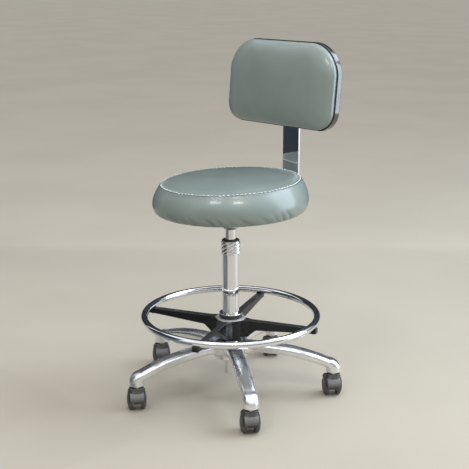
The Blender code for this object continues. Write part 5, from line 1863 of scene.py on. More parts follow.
def swollen(
    hide: Hide, rows: np.ndarray, step: int, free: np.ndarray, cap: np.ndarray, pump: Pump
) -> np.ndarray:
    """Swell a fine hide by way of a coarse copy of it, outwards only.

    Args:
        hide: The fine hide.
        rows: Its rows that the coarse copy has.
        step: The coarse copy has one in so many columns.
        free: For each fine row, 0 where it is held and 1 where it is free.
        cap: For each fine row, the furthest that a point may move.
        pump: What swells it.

    Returns:
        The fine points after the swelling.
    """
    coarse = Hide(hide.points[rows][:, ::step], hide.first, hide.last)
    move = pump.swell(coarse, free[rows], cap[rows])
    LOG.info("swelling moved the hide by up to %.1f mm", 1000 * np.linalg.norm(move, axis=2).max())
    fine_rows = np.interp(np.arange(len(hide.points)), rows, np.arange(len(rows)))
    move = between(move, fine_rows, False)
    columns = np.arange(hide.points.shape[1]) / step
    move = np.swapaxes(between(np.swapaxes(move, 0, 1), columns, True), 0, 1)
    normals = hide.normals()
    outward = np.maximum(np.sum(move * normals, axis=2, keepdims=True), 0.0)
    return hide.points + outward * normals * free[:, None, None]


@dataclass
class SeatCushion:
    """Round seat cushion: top panel sewn to a boxing band that is gathered and stapled under the board."""

    shop: Workshop
    radius: float = 0.202
    seam_radius: float = 0.1805
    seam_height: float = 0.5792
    bulge_height: float = 0.5277
    foot_radius: float = 0.188
    foot_height: float = 0.5026
    side_power: float = 1.9
    crown: float = 0.006
    rim_dip: float = 0.0022
    rim_dip_place: float = 0.017
    rim_dip_width: float = 0.011
    lip_radius: float = 0.165
    skin: float = 0.0016
    pocket_radius: float = 0.1853
    pocket_top: float = 0.5170
    trace_steps: tuple[int, int, int] = (400, 300, 200)
    pole_radius: float = 0.004
    fine_pitch: float = 0.0007
    fine_reach: float = 0.007
    pitch_growth: float = 0.16
    wide_pitch: float = 0.0032
    lip_rows: int = 8
    columns: int = 720
    coarse: int = 6
    coarse_pitch: float = 0.0055
    sewn_within: float = 0.003
    sewn_fade: Pair = (0.002, 0.012)
    foot_fade: Pair = (0.0005, 0.012)
    top_swell: float = 0.0035
    side_swell: float = 0.0022
    seam_depth: float = 0.0030
    seam_width: float = 0.0016
    ridge: float = 0.0011
    ridge_place: float = 0.0042
    ridge_width: float = 0.0024
    ridge_below: float = 0.55
    puckers: int = 98
    pucker: float = 0.0012
    pucker_reach: float = 0.008
    pucker_below: float = 0.12
    pleats: int = 38
    pleat: float = 0.0034
    pleat_height: float = 0.034
    pleat_slant: float = 1.1
    pleat_fade: float = 0.006
    sway: float = 0.0006
    sway_past: Pair = (0.010, 0.030)
    sway_over: Pair = (0.004, 0.020)
    lean: float = math.radians(2.8)
    foot_lean: float = 0.45
    lean_towards: float = math.radians(45.0)
    tuck_height: float = 0.003
    tuck_fade: Pair = (0.183, 0.190)
    tuck_rows: int = 6
    stitch_pitch: float = 0.0106
    stitch_length: float = 0.0068
    stitch_inset: float = 0.0022
    stitch_radius: float = 0.0012
    stitch_lift: float = 0.0004
    stitch_dip: float = 0.0007
    staples: int = 64
    staple_radius: float = 0.1715
    staple_turn: float = math.radians(62.0)
    staple_crown: float = 0.0095
    staple_wire: float = 0.0006
    seed: int = 11

    def _profile(self) -> np.ndarray:
        """Trace the skin from the top's middle over the seam and under the board, as (radius, height).

        Returns:
            The points, in order.
        """
        top_steps, side_steps, foot_steps = self.trace_steps
        r = np.linspace(0.0, self.seam_radius, top_steps)
        rise = self.crown * (1 - (r / self.seam_radius) ** 2)
        dip = self.rim_dip * bell(self.seam_radius - r - self.rim_dip_place, self.rim_dip_width)
        top = np.stack([r, self.seam_height + rise - dip], axis=1)
        u = np.linspace(1.0, 0.0, side_steps)
        out = self.radius - (self.radius - self.seam_radius) * u ** self.side_power
        side = np.stack([out, mix(self.bulge_height, self.seam_height, u)], axis=1)
        angle = np.linspace(0.0, math.pi / 2, foot_steps)
        out = (self.radius - self.foot_radius) * np.cos(angle)
        fall = (self.bulge_height - self.foot_height) * np.sin(angle)
        foot = np.stack([self.foot_radius + out, self.bulge_height - fall], axis=1)
        turn = self.foot_height + self.skin
        tuck = np.array([
            (self.lip_radius, self.foot_height), (self.lip_radius, turn), (self.pocket_radius, turn),
            (self.pocket_radius, self.pocket_top), (self.pole_radius, self.pocket_top),
        ])
        return np.concatenate([top[1:], side[1:], foot[1:], tuck])

    def _rows(self, profile: np.ndarray) -> tuple[np.ndarray, np.ndarray]:
        """Choose the rows of the hide, close together at the seam and in the pleats.

        Args:
            profile: The traced skin.

        Returns:
            Each row's (radius, height), and its distance along the skin past the seam.
        """
        run = run_along(profile)
        seam = run[np.argmin(np.linalg.norm(profile - (self.seam_radius, self.seam_height), axis=1))]
        foot = run[np.argmin(np.linalg.norm(profile - (self.foot_radius, self.foot_height), axis=1))]
        stops = [self.pole_radius]
        while stops[-1] < foot:
            past = max(abs(stops[-1] - seam) - self.fine_reach, 0.0)
            stops.append(stops[-1] + min(self.fine_pitch + past * self.pitch_growth, self.wide_pitch))
        tail = run[-5:]
        lip = np.linspace(stops[-1], tail[0], self.lip_rows)[1:]
        stops = np.concatenate([stops, lip, tail[1:]])
        rows = np.stack([np.interp(stops, run, profile[:, i]) for i in range(2)], axis=1)
        return rows, stops - seam

    def _waver(self, count: int, low: float, high: float) -> np.ndarray:
        """Return a smooth seeded waver round the seat, between two values.

        Args:
            count: Number of seeded values round the seat.
            low: Least value.
            high: Greatest value.

        Returns:
            One value for each column.
        """
        rng = np.random.default_rng(self.seed + count)
        table = rng.uniform(low, high, count)
        return between(table, np.arange(self.columns) * count / self.columns, True)

    def build(self) -> None:
        """Swell, sew and pleat the cushion, then add it with its stitches and staples."""
        rows, past_seam = self._rows(self._profile())
        theta = np.arange(self.columns) * math.tau / self.columns
        ring = np.stack([np.cos(theta), np.sin(theta)], axis=1)
        points = np.empty((len(rows), self.columns, 3))
        points[:, :, :2] = rows[:, None, :1] * ring[None]
        points[:, :, 2] = rows[:, 1:2]
        hide = Hide(points, np.array((0.0, 0.0, points[0, 0, 2])), np.array((0.0, 0.0, self.pocket_top)))
        height = rows[:, 1] - self.foot_height
        outside = past_seam < past_seam[np.argmin(np.abs(rows[:, 1] - self.foot_height) + (past_seam < 0))]
        free = np.where(outside & (np.abs(past_seam) > self.sewn_within), 1.0, 0.0)
        free *= smooth_step(height, *self.foot_fade) * smooth_step(np.abs(past_seam), *self.sewn_fade)
        cap = np.where(past_seam < 0, self.top_swell, self.side_swell)
        stops = np.arange(past_seam[0], past_seam[-1], self.coarse_pitch)
        chosen = np.unique(np.concatenate([
            np.searchsorted(past_seam, stops).clip(0, len(rows) - 1),
            [int(np.argmin(np.abs(past_seam))), len(rows) - 1],
        ]))
        hide.points = swollen(hide, chosen, self.coarse, free, cap, Pump())
        soil, wear = self._sew(hide, past_seam, height, outside, theta)
        self._settle(hide, height)
        hide.first[2] = hide.points[0, :, 2].mean()
        for part in (hide.points, hide.first, hide.last):
            part[..., :2] += np.array(self.shop.axis[:2])
        mesh = hide.mesh("seat_cover", {"soil": soil, "wear": wear})
        cover = self.shop.add("seat_cover", mesh, VINYL, Body.SEAT.value, "seat_cushion")
        self._stitch(hide, int(np.argmin(np.abs(past_seam + self.stitch_inset))))
        self._staple()
        self.shop.dress(PLYWOOD, "seat_board")

    def _sew(
        self, hide: Hide, past_seam: np.ndarray, height: np.ndarray, outside: np.ndarray, theta: np.ndarray
    ) -> tuple[np.ndarray, np.ndarray]:
        """Press in the seam and raise its ridge, puckers and pleats.

        Args:
            hide: The swollen hide, changed in place.
            past_seam: Each row's distance past the seam.
            height: Each row's height over the foot.
            outside: Rows that are in view from outside.
            theta: Each column's angle.

        Returns:
            The painted shade and the painted highlight at each point.
        """
        d = past_seam[:, None]
        groove = bell(d, self.seam_width)
        ridge = bell(np.abs(d) - self.ridge_place, self.ridge_width)
        ridge = ridge * np.where(d < 0, 1.0, self.ridge_below)
        strength = self._waver(60, 0.25, 1.25)[None]
        phase = self.puckers * theta + 2.2 * self._waver(24, -1.0, 1.0)
        wave = np.cos(phase)[None] * strength
        near = np.exp(-np.abs(d) / self.pucker_reach) * (1 - 0.8 * groove)
        near = near * np.where(d < 0, 1.0, self.pucker_below)
        rise = self.ridge * ridge - self.seam_depth * groove + self.pucker * wave * near
        tall = height[:, None]
        down = smooth_step(tall, self.pleat_height, self.pleat_fade)
        down = down * smooth_step(tall, -0.001, self.pleat_fade) * (d > 0)
        slant = self.pleats * (theta[None] + self.pleat_slant * tall / self.radius)
        fold = np.abs(np.sin((slant + 2.5 * self._waver(30, -1.0, 1.0)[None]) / 2)) ** 0.7
        depth = self._waver(40, 0.35, 1.15)[None] * down
        rise = rise - self.pleat * (1 - fold) * depth
        sway = self._waver(14, -1.0, 1.0)[None] * smooth_step(d, *self.sway_past)
        rise = (rise + self.sway * (sway * smooth_step(tall, *self.sway_over))) * outside[:, None]
        hide.points = hide.points + hide.normals() * rise[:, :, None]
        # painted shade: darker in the seam groove, in the pleat valleys and at the foot where the skin
        # turns under
        soil = bell(d - 0.0008, 0.0026) + 0.30 * (1 - fold) * depth + 0.25 * bell(tall, 0.004)
        # painted highlight along the seam's ridge, beaded by the puckers
        worn_and_highlight = bell(np.abs(d) - self.ridge_place, 0.0016) * np.where(d < 0, 0.42, 0.22)
        return np.clip(soil, 0.0, 1.0), np.clip(worn_and_highlight * (0.7 + 0.5 * wave), 0.0, 1.0)

    def _settle(self, hide: Hide, height: np.ndarray) -> None:
        """Let the foam lean, most at its top, as a used seat does.

        Args:
            hide: The sewn hide, changed in place.
            height: Each row's height over the foot.
        """
        towards = math.cos(self.lean_towards), math.sin(self.lean_towards)
        along = hide.points[:, :, 0] * towards[0] + hide.points[:, :, 1] * towards[1]
        rise = np.clip(height / (self.seam_height - self.foot_height), 0.0, 1.0)
        share = mix(self.foot_lean, 1.0, rise[:, None])
        radial = np.linalg.norm(hide.points[:, :, :2], axis=2)
        under = (height < self.tuck_height)[:, None]
        share = np.where(under, share * smooth_step(radial, *self.tuck_fade), share)
        share[-self.tuck_rows:] = 0.0
        hide.points[:, :, 2] += math.tan(self.lean) * along * share

    def _stitch(self, hide: Hide, row: int) -> None:
        """Lay the stitches in the seam.

        Args:
            hide: The finished hide.
            row: Its row that the stitches lie on.
        """
        seam = hide.points[row]
        lift = hide.normals()[row]
        run = run_along(np.concatenate([seam, seam[:1]]))
        places = []
        count = int(run[-1] / self.stitch_pitch)
        for i in range(count):
            column = int(np.searchsorted(run, run[-1] * i / count)) % len(seam)
            along = Vector(seam[(column + 1) % len(seam)] - seam[column - 1]).normalized()
            up = Vector(lift[column])
            up = (up - along * up.dot(along)).normalized()
            turn = Matrix((along, up.cross(along), up)).transposed().to_4x4()
            places.append(Matrix.Translation(Vector(seam[column]) + up * self.stitch_lift) @ turn)
        half, dip = self.stitch_length / 2, self.stitch_dip
        ends = ((-half, 0.5, dip), (-half * 0.6, 1.0, 0.0), (half * 0.6, 1.0, 0.0), (half, 0.5, dip))
        loops = []
        for x, size, sink in ends:
            section = circle_section(self.stitch_radius, 6)
            loops.append([(x, y * size, z * size - sink) for y, z in section])
        stitch = skin("stitch", loops)
        stitch.shade_smooth()
        self.shop.set_on("seam_stitches", stitch, places, THREAD, Body.SEAT.value)

    def _staple(self) -> None:
        """Set the staples that hold the tuck under the board."""
        places = []
        for i in range(self.staples):
            angle = math.tau * i / self.staples
            spot = Vector((math.cos(angle), math.sin(angle), 0.0)) * self.staple_radius
            spot += Vector((self.shop.axis.x, self.shop.axis.y, self.foot_height))
            turn = Matrix.Rotation(angle + self.staple_turn, 4, "Z")
            places.append(Matrix.Translation(spot) @ turn)
        half, wire = self.staple_crown / 2, self.staple_wire
        staple = skin("staple", [
            [(x, y, z - wire * 0.8) for y, z in circle_section(wire, 6)] for x in (-half, half)
        ])
        self.shop.set_on("tuck_staples", shaded(staple), places, ZINC, Body.SEAT.value)


# Seat mechanism


@dataclass
class SeatMechanism:
    """Welded plate and hub under the seat, bar guide, bolts and release lever."""

    shop: Workshop
    hub_radius: float = 0.024
    hub_low: float = 0.4514
    hub_chamfer: float = 0.0075
    socket_radius: float = 0.0143
    plate_low: float = 0.5014
    plate_high: float = 0.5044
    plate_corner: float = 0.020
    weld: float = 0.003
    cylinder_high: float = 0.4879
    pivot: float = 0.032
    lever_height: float = 0.4963
    ear_inside: float = 0.0055
    ear: float = 0.003
    ear_width: float = 0.010
    ear_drop: float = 0.010
    trunnion: float = 0.0022
    lever_radius: float = 0.003
    lever_tongue: float = 0.003
    lever_reach: float = 0.190
    lever_drop: float = 0.033
    lever_knee: float = 0.028
    lever_boss: float = 0.0046
    lever_boss_length: float = 0.010
    lever_bend: float = 0.060
    lever_play: float = 0.0005
    grip_length: float = 0.052
    grip_width: float = 0.022
    grip_height: float = 0.011
    grip_overlap: float = 0.030
    grip_steps: int = 16
    grip_power: float = 0.7
    grip_taper: float = 0.35
    grip_end: float = 0.12
    grip_waist: float = 0.12
    grip_waist_place: float = 0.012
    grip_waist_width: float = 0.014
    guide_from: float = 0.068
    guide_to: float = 0.120
    guide_floor: float = 0.4934
    guide_half: float = 0.029
    guide_wall: float = 0.0025
    guide_flange: float = 0.009
    nut_radius: float = 0.008
    nut_height: float = 0.006
    stud: float = 0.0043
    bolt_head: float = 0.0055
    bolt_height: float = 0.004
    washer: float = 0.0008
    washer_radius: float = 0.007425
    gap: float = 0.0003

    def plate(self) -> Mesh:
        """Make the plate with its welded hub and lever ears.

        Returns:
            The mesh.
        """
        low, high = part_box("seat_plate")
        axis = self.shop.axis
        outline = plate_outline(high.x - low.x, high.y - low.y, self.plate_corner)
        plate = slab("plate", outline, self.plate_low, self.plate_high)
        shifted(plate, (low.x + high.x) / 2 - axis.x, (low.y + high.y) / 2 - axis.y)
        top = (self.plate_low + self.plate_high) / 2
        hub = lathe("hub", soften([
            (0.0, self.hub_low, 0.0), (self.hub_radius - self.hub_chamfer, self.hub_low, 0.001),
            (self.hub_radius, self.hub_low + self.hub_chamfer, 0.003),
            (self.hub_radius, self.plate_low - self.weld, self.weld),
            (self.hub_radius + self.weld, top, 0.0), (0.0, top, 0.0),
        ]))
        ears = []
        for start in (self.ear_inside, -self.ear_inside - self.ear):
            ears.append(block(
                "ear", (-self.pivot - self.ear_width / 2, start, self.plate_low - self.ear_drop),
                (-self.pivot + self.ear_width / 2, start + self.ear, top),
            ))
        solid = combined(plate, Cut.JOIN, hub, *ears)
        socket = pillar("socket", self.socket_radius, self.hub_low - self.gap, self.plate_low, ROUND)
        slot = self.lever_radius + 0.001
        slit = block("slit", (-self.pivot, -slot, self.cylinder_high), (0.0, slot, self.plate_low))
        reach = self.ear_inside + 2 * self.ear
        pin = lying_y(pillar("pin", self.trunnion + self.gap, -reach, reach))
        return combined(solid, Cut.CARVE, socket, slit, shifted(pin, x=-self.pivot, z=self.lever_height))

    def guide(self) -> Mesh:
        """Fold the guide of the flat bar and weld on the knob's nut.

        Returns:
            The mesh.
        """
        top = self.plate_low - self.gap
        inside, outside, wall = self.guide_half, self.guide_half + self.guide_wall, self.guide_wall
        edge = outside + self.guide_flange
        half = [
            (inside, self.guide_floor, 0.0), (inside, top, 0.001), (edge, top, 0.0),
            (edge, top - wall, 0.0), (outside, top - wall, 0.001),
            (outside, self.guide_floor - wall, 0.003),
        ]
        outline = soften(half + [(-x, z, r) for x, z, r in reversed(half)])
        strip = skin("guide", [[(x, y, z) for x, z in outline] for y in (self.guide_from, self.guide_to)])
        low = self.guide_floor - wall - self.nut_height
        centre = (self.guide_from + self.guide_to) / 2
        nut = shifted(pillar("nut", self.nut_radius, low, self.guide_floor - wall / 2, 6), y=centre)
        hole = pillar("hole", self.stud, low - self.gap, self.guide_floor + self.gap)
        return combined(combined(strip, Cut.JOIN, nut), Cut.CARVE, shifted(hole, y=centre))

    def lever(self) -> tuple[Mesh, Mesh]:
        """Bend the release lever and mould its grip.

        Returns:
            The lever and the grip, about the pivot.
        """
        end = Vector((self.pivot - self.lever_reach, 0.0, -self.lever_drop))
        knee = Vector((-self.lever_knee, 0.0, -self.lever_drop * self.lever_knee / self.lever_reach / 2))
        start = Vector((self.pivot + self.lever_tongue, 0.0, 0.0))
        path = bend([start, knee, end], self.lever_bend, 12)
        rod = swept("lever", path, circle_section(self.lever_radius, 20), Vector((0.0, 1.0, 0.0)))
        half = self.lever_boss_length / 2
        boss = lying_y(pillar("boss", self.lever_boss, -half, half))
        reach = half + self.lever_play + self.ear
        pin = lying_y(pillar("trunnion", self.trunnion, -reach, reach))
        rod = bevelled(combined(rod, Cut.JOIN, boss, pin), width=0.0003)
        slope = math.atan2(self.lever_drop, self.lever_reach - self.pivot - self.lever_knee)
        loops = []
        steps = self.grip_steps
        for i in range(steps + 1):
            angle = math.pi * i / steps
            squeeze = math.sin(angle) ** self.grip_taper if 0 < i < steps else self.grip_end
            x = -self.grip_length / 2 * math.cos(angle)
            slim = bell(np.array(x - self.grip_waist_place), self.grip_waist_width)
            waist = 1.0 - self.grip_waist * slim
            wide, tall = self.grip_width / 2 * squeeze * float(waist), self.grip_height / 2 * squeeze
            section = circle_section(1.0, SMALL_ROUND)
            loops.append([(x, *squared(c, s, wide, tall, self.grip_power)) for c, s in section])
        grip = shifted(skin("grip", loops), x=self.grip_overlap - self.grip_length / 2)
        placed(grip, Matrix.Translation(end) @ Matrix.Rotation(-slope, 4, "Y"))
        return rod, shaded(grip)

    def build(self) -> None:
        """Add plate, guide, bolts and lever, and dress the valve's pin."""
        plate = self.shop.centred(bevelled(self.plate(), width=0.0006))
        self.shop.add("welded_plate", plate, ZINC, Body.SEAT.value, "seat_plate")
        guide = self.shop.centred(bevelled(self.guide(), width=0.0005))
        self.shop.add("folded_guide", guide, ZINC, Body.SEAT.value, "bar_guide")
        nodes = [f"seat_bolt_{i + 1}" for i in range(4)]
        places = [head_place(node) for node in nodes]
        washer = pillar("washer", self.washer_radius, self.bolt_height - self.washer, self.bolt_height)
        head = combined(pillar("head", self.bolt_head, 0.0, self.bolt_height, 6), Cut.JOIN, washer)
        self.shop.set_on("seat_bolts", bevelled(head, width=0.0004), places, ZINC, Body.SEAT.value, *nodes)
        pivot = Matrix.Translation(self.shop.axis + Vector((-self.pivot, 0.0, self.lever_height)))
        rod, grip = self.lever()
        self.shop.add("lever_rod", placed(rod, pivot), ZINC, Body.LEVER.value, "release_lever")
        self.shop.add("lever_paddle", placed(grip, pivot), KNOB_NYLON, Body.LEVER.value, "lever_grip")
        self.shop.dress(ZINC, "valve_pin")


@dataclass
class ClampKnob:
    """Lobed clamp knob with its threaded stud."""

    shop: Workshop
    name: str
    body: Body
    place: Vector
    turn: Matrix
    stud_length: float
    radius: float = 0.019
    height: float = 0.015
    lobes: int = 6
    lobe_depth: float = 0.0022
    stud: float = 0.004
    edge: float = 0.0022
    collar: float = 0.009
    dish: float = 0.0012
    dish_rim: float = 0.62
    dish_floor: float = 0.55
    dish_edge: float = 0.001
    middle_radius: float = 0.0012
    pitch: float = 0.00125
    thread_root: float = 0.88
    stud_tip: float = 0.8

    def head(self) -> Mesh:
        """Loft the lobed head below the origin, with a dished face.

        Returns:
            The mesh.
        """
        floor = -self.height + self.dish
        section = soften([
            (self.collar, 0.0, 0.0), (self.radius, 0.0, self.edge), (self.radius, -self.height, self.edge),
            (self.radius * self.dish_rim, -self.height, self.dish_edge),
            (self.radius * self.dish_floor, floor, self.dish_edge), (self.middle_radius, floor, 0.0),
        ])
        loops = []
        for radius, level in section:
            share = smooth_step(np.array(radius), self.collar, self.radius)
            loop = []
            for i in range(ROUND):
                angle = math.tau * i / ROUND
                dent = self.lobe_depth * (0.5 - 0.5 * math.cos(self.lobes * angle)) * float(share)
                loop.append(((radius - dent) * math.cos(angle), (radius - dent) * math.sin(angle), level))
            loops.append(loop)
        return shaded(skin("knob", loops))

    def build(self) -> None:
        """Add head and stud."""
        matrix = Matrix.Translation(self.place) @ self.turn
        head = placed(self.head(), matrix)
        self.shop.add(f"{self.name}_head", head, KNOB_NYLON, self.body.value, self.name)
        thread = []
        turns = int(self.stud_length / self.pitch)
        for i in range(turns):
            low = self.stud_length * i / turns
            thread += [(self.stud * self.thread_root, low), (self.stud, low + self.stud_length / turns / 2)]
        start, end = -self.height / 2, self.stud_length
        outline = [
            (0.0, start), (self.stud, start), *thread, (self.stud * self.stud_tip, end), (0.0, end),
        ]
        stud = placed(shaded(lathe("stud", outline, SMALL_ROUND)), matrix)
        self.shop.add(f"{self.name}_stud", stud, ZINC, self.body.value, self.name)


# Backrest


@dataclass
class BackBar:
    """Flat chrome bar, bent up behind the seat."""

    shop: Workshop
    width: float = 0.057
    thickness: float = 0.006
    start: float = 0.060
    height: float = 0.4969
    reach: float = 0.232
    top: float = 0.8404
    bend_radius: float = 0.030
    bend_steps: int = 32
    edge: float = 0.0011

    def build(self) -> None:
        """Sweep the bar and add it."""
        path = bend([
            Vector((0.0, self.start, self.height)), Vector((0.0, self.reach, self.height)),
            Vector((0.0, self.reach, self.top)),
        ], self.bend_radius, self.bend_steps)
        section = plate_outline(self.width, self.thickness, self.edge, 4)
        bar = swept("bar", path, section, Vector((1.0, 0.0, 0.0)))
        bar = self.shop.centred(bevelled(bar, width=0.0006))
        self.shop.add("flat_bar", bar, CHROME, Body.BAR.value, "back_bar")


@dataclass
class Backrest:
    """Padded backrest in a gloss moulded shell, with the sleeve that slides on the bar."""

    shop: Workshop
    centre: float = 0.8104
    recline: float = math.radians(5.5)
    half_width: float = 0.1885
    top_half_width: float = 0.186
    side_bow: float = 0.030
    height: float = 0.226
    top_corner: float = 0.086
    bottom_corner: float = 0.047
    bow: float = 0.022
    columns: int = 320
    coarse: int = 5
    shell_front: float = 0.1927
    shell_rim: float = 0.2082
    shell_back: float = 0.2157
    shell_inset: float = 0.022
    shell_wall: float = 0.003
    shell_lip: float = 0.0012
    shell_steps: int = 12
    pad_front: float = 0.1551
    pad_side: float = 0.1834
    pad_lip: float = 0.1924
    pad_back: float = 0.2041
    pad_fit: float = 0.0036
    pad_edge: float = 0.003
    pad_fullness: float = 2.6
    pad_roll: float = 0.56
    pad_seat: float = 0.011
    pad_rows: int = 52
    pad_side_rows: int = 8
    pad_pole: float = 0.04
    pad_back_shares: Place = (0.66, 0.33, 0.04)
    pad_held: int = 5
    pad_swell: float = 0.0010
    pad_fade: Pair = (0.001, 0.010)
    sleeve_front: float = 0.2160
    sleeve_back: float = 0.2415
    sleeve_half: float = 0.0405
    sleeve_low: float = -0.072
    sleeve_high: float = 0.060
    sleeve_corner: float = 0.006
    flange_reach: float = 0.018
    flange_half: float = 0.022
    flange: float = 0.0035
    flange_corner: float = 0.008
    slot_half: float = 0.029
    slot_front: float = 0.2285
    slot_back: float = 0.2355
    knob_below: float = 0.040
    stud: float = 0.0043
    screw_x: float = 0.0495
    screw_head: float = 0.005
    screw_height: float = 0.003
    gap: float = 0.0003

    def _leaning(self) -> Matrix:
        """Return the move from the upright backrest about the column's axis to the leaning one in place.

        Returns:
            The move.
        """
        centre = Matrix.Translation((0.0, self.shell_back, self.centre))
        lean = centre @ Matrix.Rotation(-self.recline, 4, "X") @ centre.inverted()
        return Matrix.Translation(self.shop.axis) @ lean

    def _outline(self) -> tuple[np.ndarray, np.ndarray]:
        """Return the shell's outline as (x, z) points an even way apart, and its outward normals.

        Returns:
            The points and the normals.
        """
        x, top, z = self.half_width, self.top_half_width, self.height / 2
        right = [(x, -z, self.bottom_corner), (top, z, self.top_corner)]
        raw = np.array(soften(right + [(-x, z, r) for x, z, r in reversed(right)], 48))
        raw[:, 1] *= 1 - self.bow * (raw[:, 0] / x) ** 2
        raw[:, 0] *= 1 - self.side_bow * (raw[:, 1] / z) ** 2
        closed = np.concatenate([raw, raw[:1]])
        run = run_along(closed)
        stops = np.arange(self.columns) * run[-1] / self.columns
        points = np.stack([np.interp(stops, run, closed[:, i]) for i in range(2)], axis=1)
        ahead = np.roll(points, -1, axis=0) - np.roll(points, 1, axis=0)
        for _ in range(3):
            ahead = blurred(ahead, axis=0)
        normal = np.stack([ahead[:, 1], -ahead[:, 0]], axis=1)
        return points, normal / np.linalg.norm(normal, axis=1, keepdims=True)

    def _loop(self, inset: float, depth: float, scale: float = 1.0) -> np.ndarray:
        """Return one loop of the outline, set in, shrunk to the middle and placed at a depth.

        Args:
            inset: How far inside the outline it runs.
            depth: Its depth.
            scale: Share of its full size.

        Returns:
            The points.
        """
        points, normals = self._outline()
        flat = (points - normals * inset) * scale
        loop = np.empty((self.columns, 3))
        loop[:, 0] = flat[:, 0]
        loop[:, 1] = depth
        loop[:, 2] = flat[:, 1] + self.centre
        return loop

    def shell(self) -> Mesh:
        """Loft the dish with its rolled rim and flat floor.

        Returns:
            The mesh.
        """
        steps = self.shell_steps
        rise, wall = self.shell_back - self.shell_rim, self.shell_wall
        loops = []
        for i in range(steps + 1):
            angle = math.pi / 2 * i / steps
            inset = self.shell_inset * (1 - math.sin(angle))
            loops.append(self._loop(inset, self.shell_rim + rise * math.cos(angle)))
        lip = self.shell_lip
        for i in range(steps // 2 + 1):
            angle = math.pi * i / (steps // 2)
            inset = wall / 2 * (1 - math.cos(angle))
            loops.append(self._loop(inset, self.shell_front + lip * (1 - math.sin(angle))))
        for i in range(steps, -1, -1):
            angle = math.pi / 2 * i / steps
            inset = wall + (self.shell_inset - wall / 2) * (1 - math.sin(angle))
            depth = self.shell_rim - wall / 2 + (rise - wall / 2) * math.cos(angle)
            loops.append(self._loop(inset, depth))
        return shaded(skin("shell", [loop.tolist() for loop in loops]))

    def pad(self) -> None:
        """Swell the pad in its shell and add it."""
        trace: list[Place] = []
        for angle in np.linspace(self.pad_pole, math.pi / 2, self.pad_rows):
            t = math.sin(angle)
            fall = 1 - (1 - t ** self.pad_fullness) ** self.pad_roll
            trace.append((self.pad_edge, mix(self.pad_front, self.pad_side, fall), t))
        for t in np.linspace(0.0, 1.0, self.pad_side_rows)[1:]:
            inset = mix(self.pad_edge, self.pad_fit, t ** 2)
            trace.append((inset, mix(self.pad_side, self.pad_lip, t), 1.0))
        seat = self.pad_fit + self.pad_seat
        trace += [(self.pad_fit, self.pad_lip + self.shell_wall, 1.0), (seat, self.pad_back, 1.0)]
        trace += [(seat, self.pad_back, t) for t in self.pad_back_shares]
        points = np.stack([self._loop(*row) for row in trace])
        depth = np.array([row[1] for row in trace])
        front = np.array((0.0, points[0, 0, 1], self.centre))
        back = np.array((0.0, points[-1, 0, 1], self.centre))
        hide = Hide(points, front, back)
        free = smooth_step(self.pad_lip - depth, *self.pad_fade)
        free[-self.pad_held:] = 0.0
        cap = np.full(len(trace), self.pad_swell)
        tail = len(trace) - self.pad_held - 1
        chosen = np.concatenate([np.arange(0, tail, 2), np.arange(tail, len(trace))])
        hide.points = swollen(hide, chosen, self.coarse, free, cap, Pump(pressure=3.0))
        hide.first[1] = hide.points[0, :, 1].mean()
        past = (self.pad_lip - depth)[:, None]
        spread = np.ones((1, self.columns))
        shown = (depth < self.pad_lip + 0.001)[:, None]
        # painted shade in the gap where the pad meets the shell's lip
        soil = 0.55 * bell(past, 0.0035) * spread * shown
        # lighter band on the pad's edge roll: painted highlight with some rubbing
        wear = 0.16 * bell(past - 0.016, 0.006) * spread
        mesh = placed(hide.mesh("back_cover", {"soil": soil, "wear": wear}), self._leaning())
        cover = self.shop.add("back_cover", mesh, VINYL, Body.BACKREST.value, "back_cushion")

    def sleeve(self) -> Mesh:
        """Make the sleeve in place: its front and flange lean with the shell, its slot stands upright.

        Returns:
            The mesh.
        """
        low, high = self.centre + self.sleeve_low, self.centre + self.sleeve_high
        loops = []
        for level in (low, high):
            front = self.sleeve_front + (level - self.centre) * math.tan(self.recline)
            outline = soften([
                (-self.sleeve_half, front, 0.0), (self.sleeve_half, front, 0.0),
                (self.sleeve_half, self.sleeve_back, self.sleeve_corner),
                (-self.sleeve_half, self.sleeve_back, self.sleeve_corner),
            ])
            loops.append([(x, y, level) for x, y in outline])
        body = self.shop.centred(skin("sleeve", loops))
        wide = self.sleeve_half + self.flange_reach
        corners = plate_outline(2 * wide, 2 * self.flange_half, self.flange_corner)
        flange = placed(skin("flange", [
            [(x, y, z + self.centre) for x, z in corners]
            for y in (self.sleeve_front, self.sleeve_front + self.flange)
        ]), self._leaning())
        slot = block(
            "slot", (-self.slot_half, self.slot_front, low - self.flange),
            (self.slot_half, self.slot_back, high + self.flange),
        )
        hole = lying_y(pillar("hole", self.stud, self.slot_back - self.flange, 2 * self.sleeve_back))
        shifted(hole, z=self.centre - self.knob_below)
        cutters = [self.shop.centred(cutter) for cutter in (slot, hole)]
        return combined(combined(body, Cut.JOIN, flange), Cut.CARVE, *cutters)

    def build(self) -> None:
        """Add shell, pad, sleeve and screws, and dress the board inside."""
        leaning = self._leaning()
        shell = placed(self.shell(), leaning)
        self.shop.add("moulded_shell", shell, SHELL, Body.BACKREST.value, "back_shell")
        self.pad()
        sleeve = bevelled(self.sleeve(), width=0.0009, segments=3)
        self.shop.add("bar_slide", sleeve, MOULDING, Body.BACKREST.value, "bar_sleeve")
        seat = self.sleeve_front + self.flange + self.gap
        places = []
        for side in Side:
            place = Matrix.Translation((side.value * self.screw_x, seat, self.centre))
            places.append(leaning @ place @ Matrix.Rotation(-math.pi / 2, 4, "X"))
        head = pan_head(self.screw_head, self.screw_height)
        nodes = ["sleeve_screw_1", "sleeve_screw_2"]
        self.shop.set_on("slide_screws", head, places, ZINC, Body.BACKREST.value, *nodes)
        self.shop.dress(PLYWOOD, "back_board")


# Stage


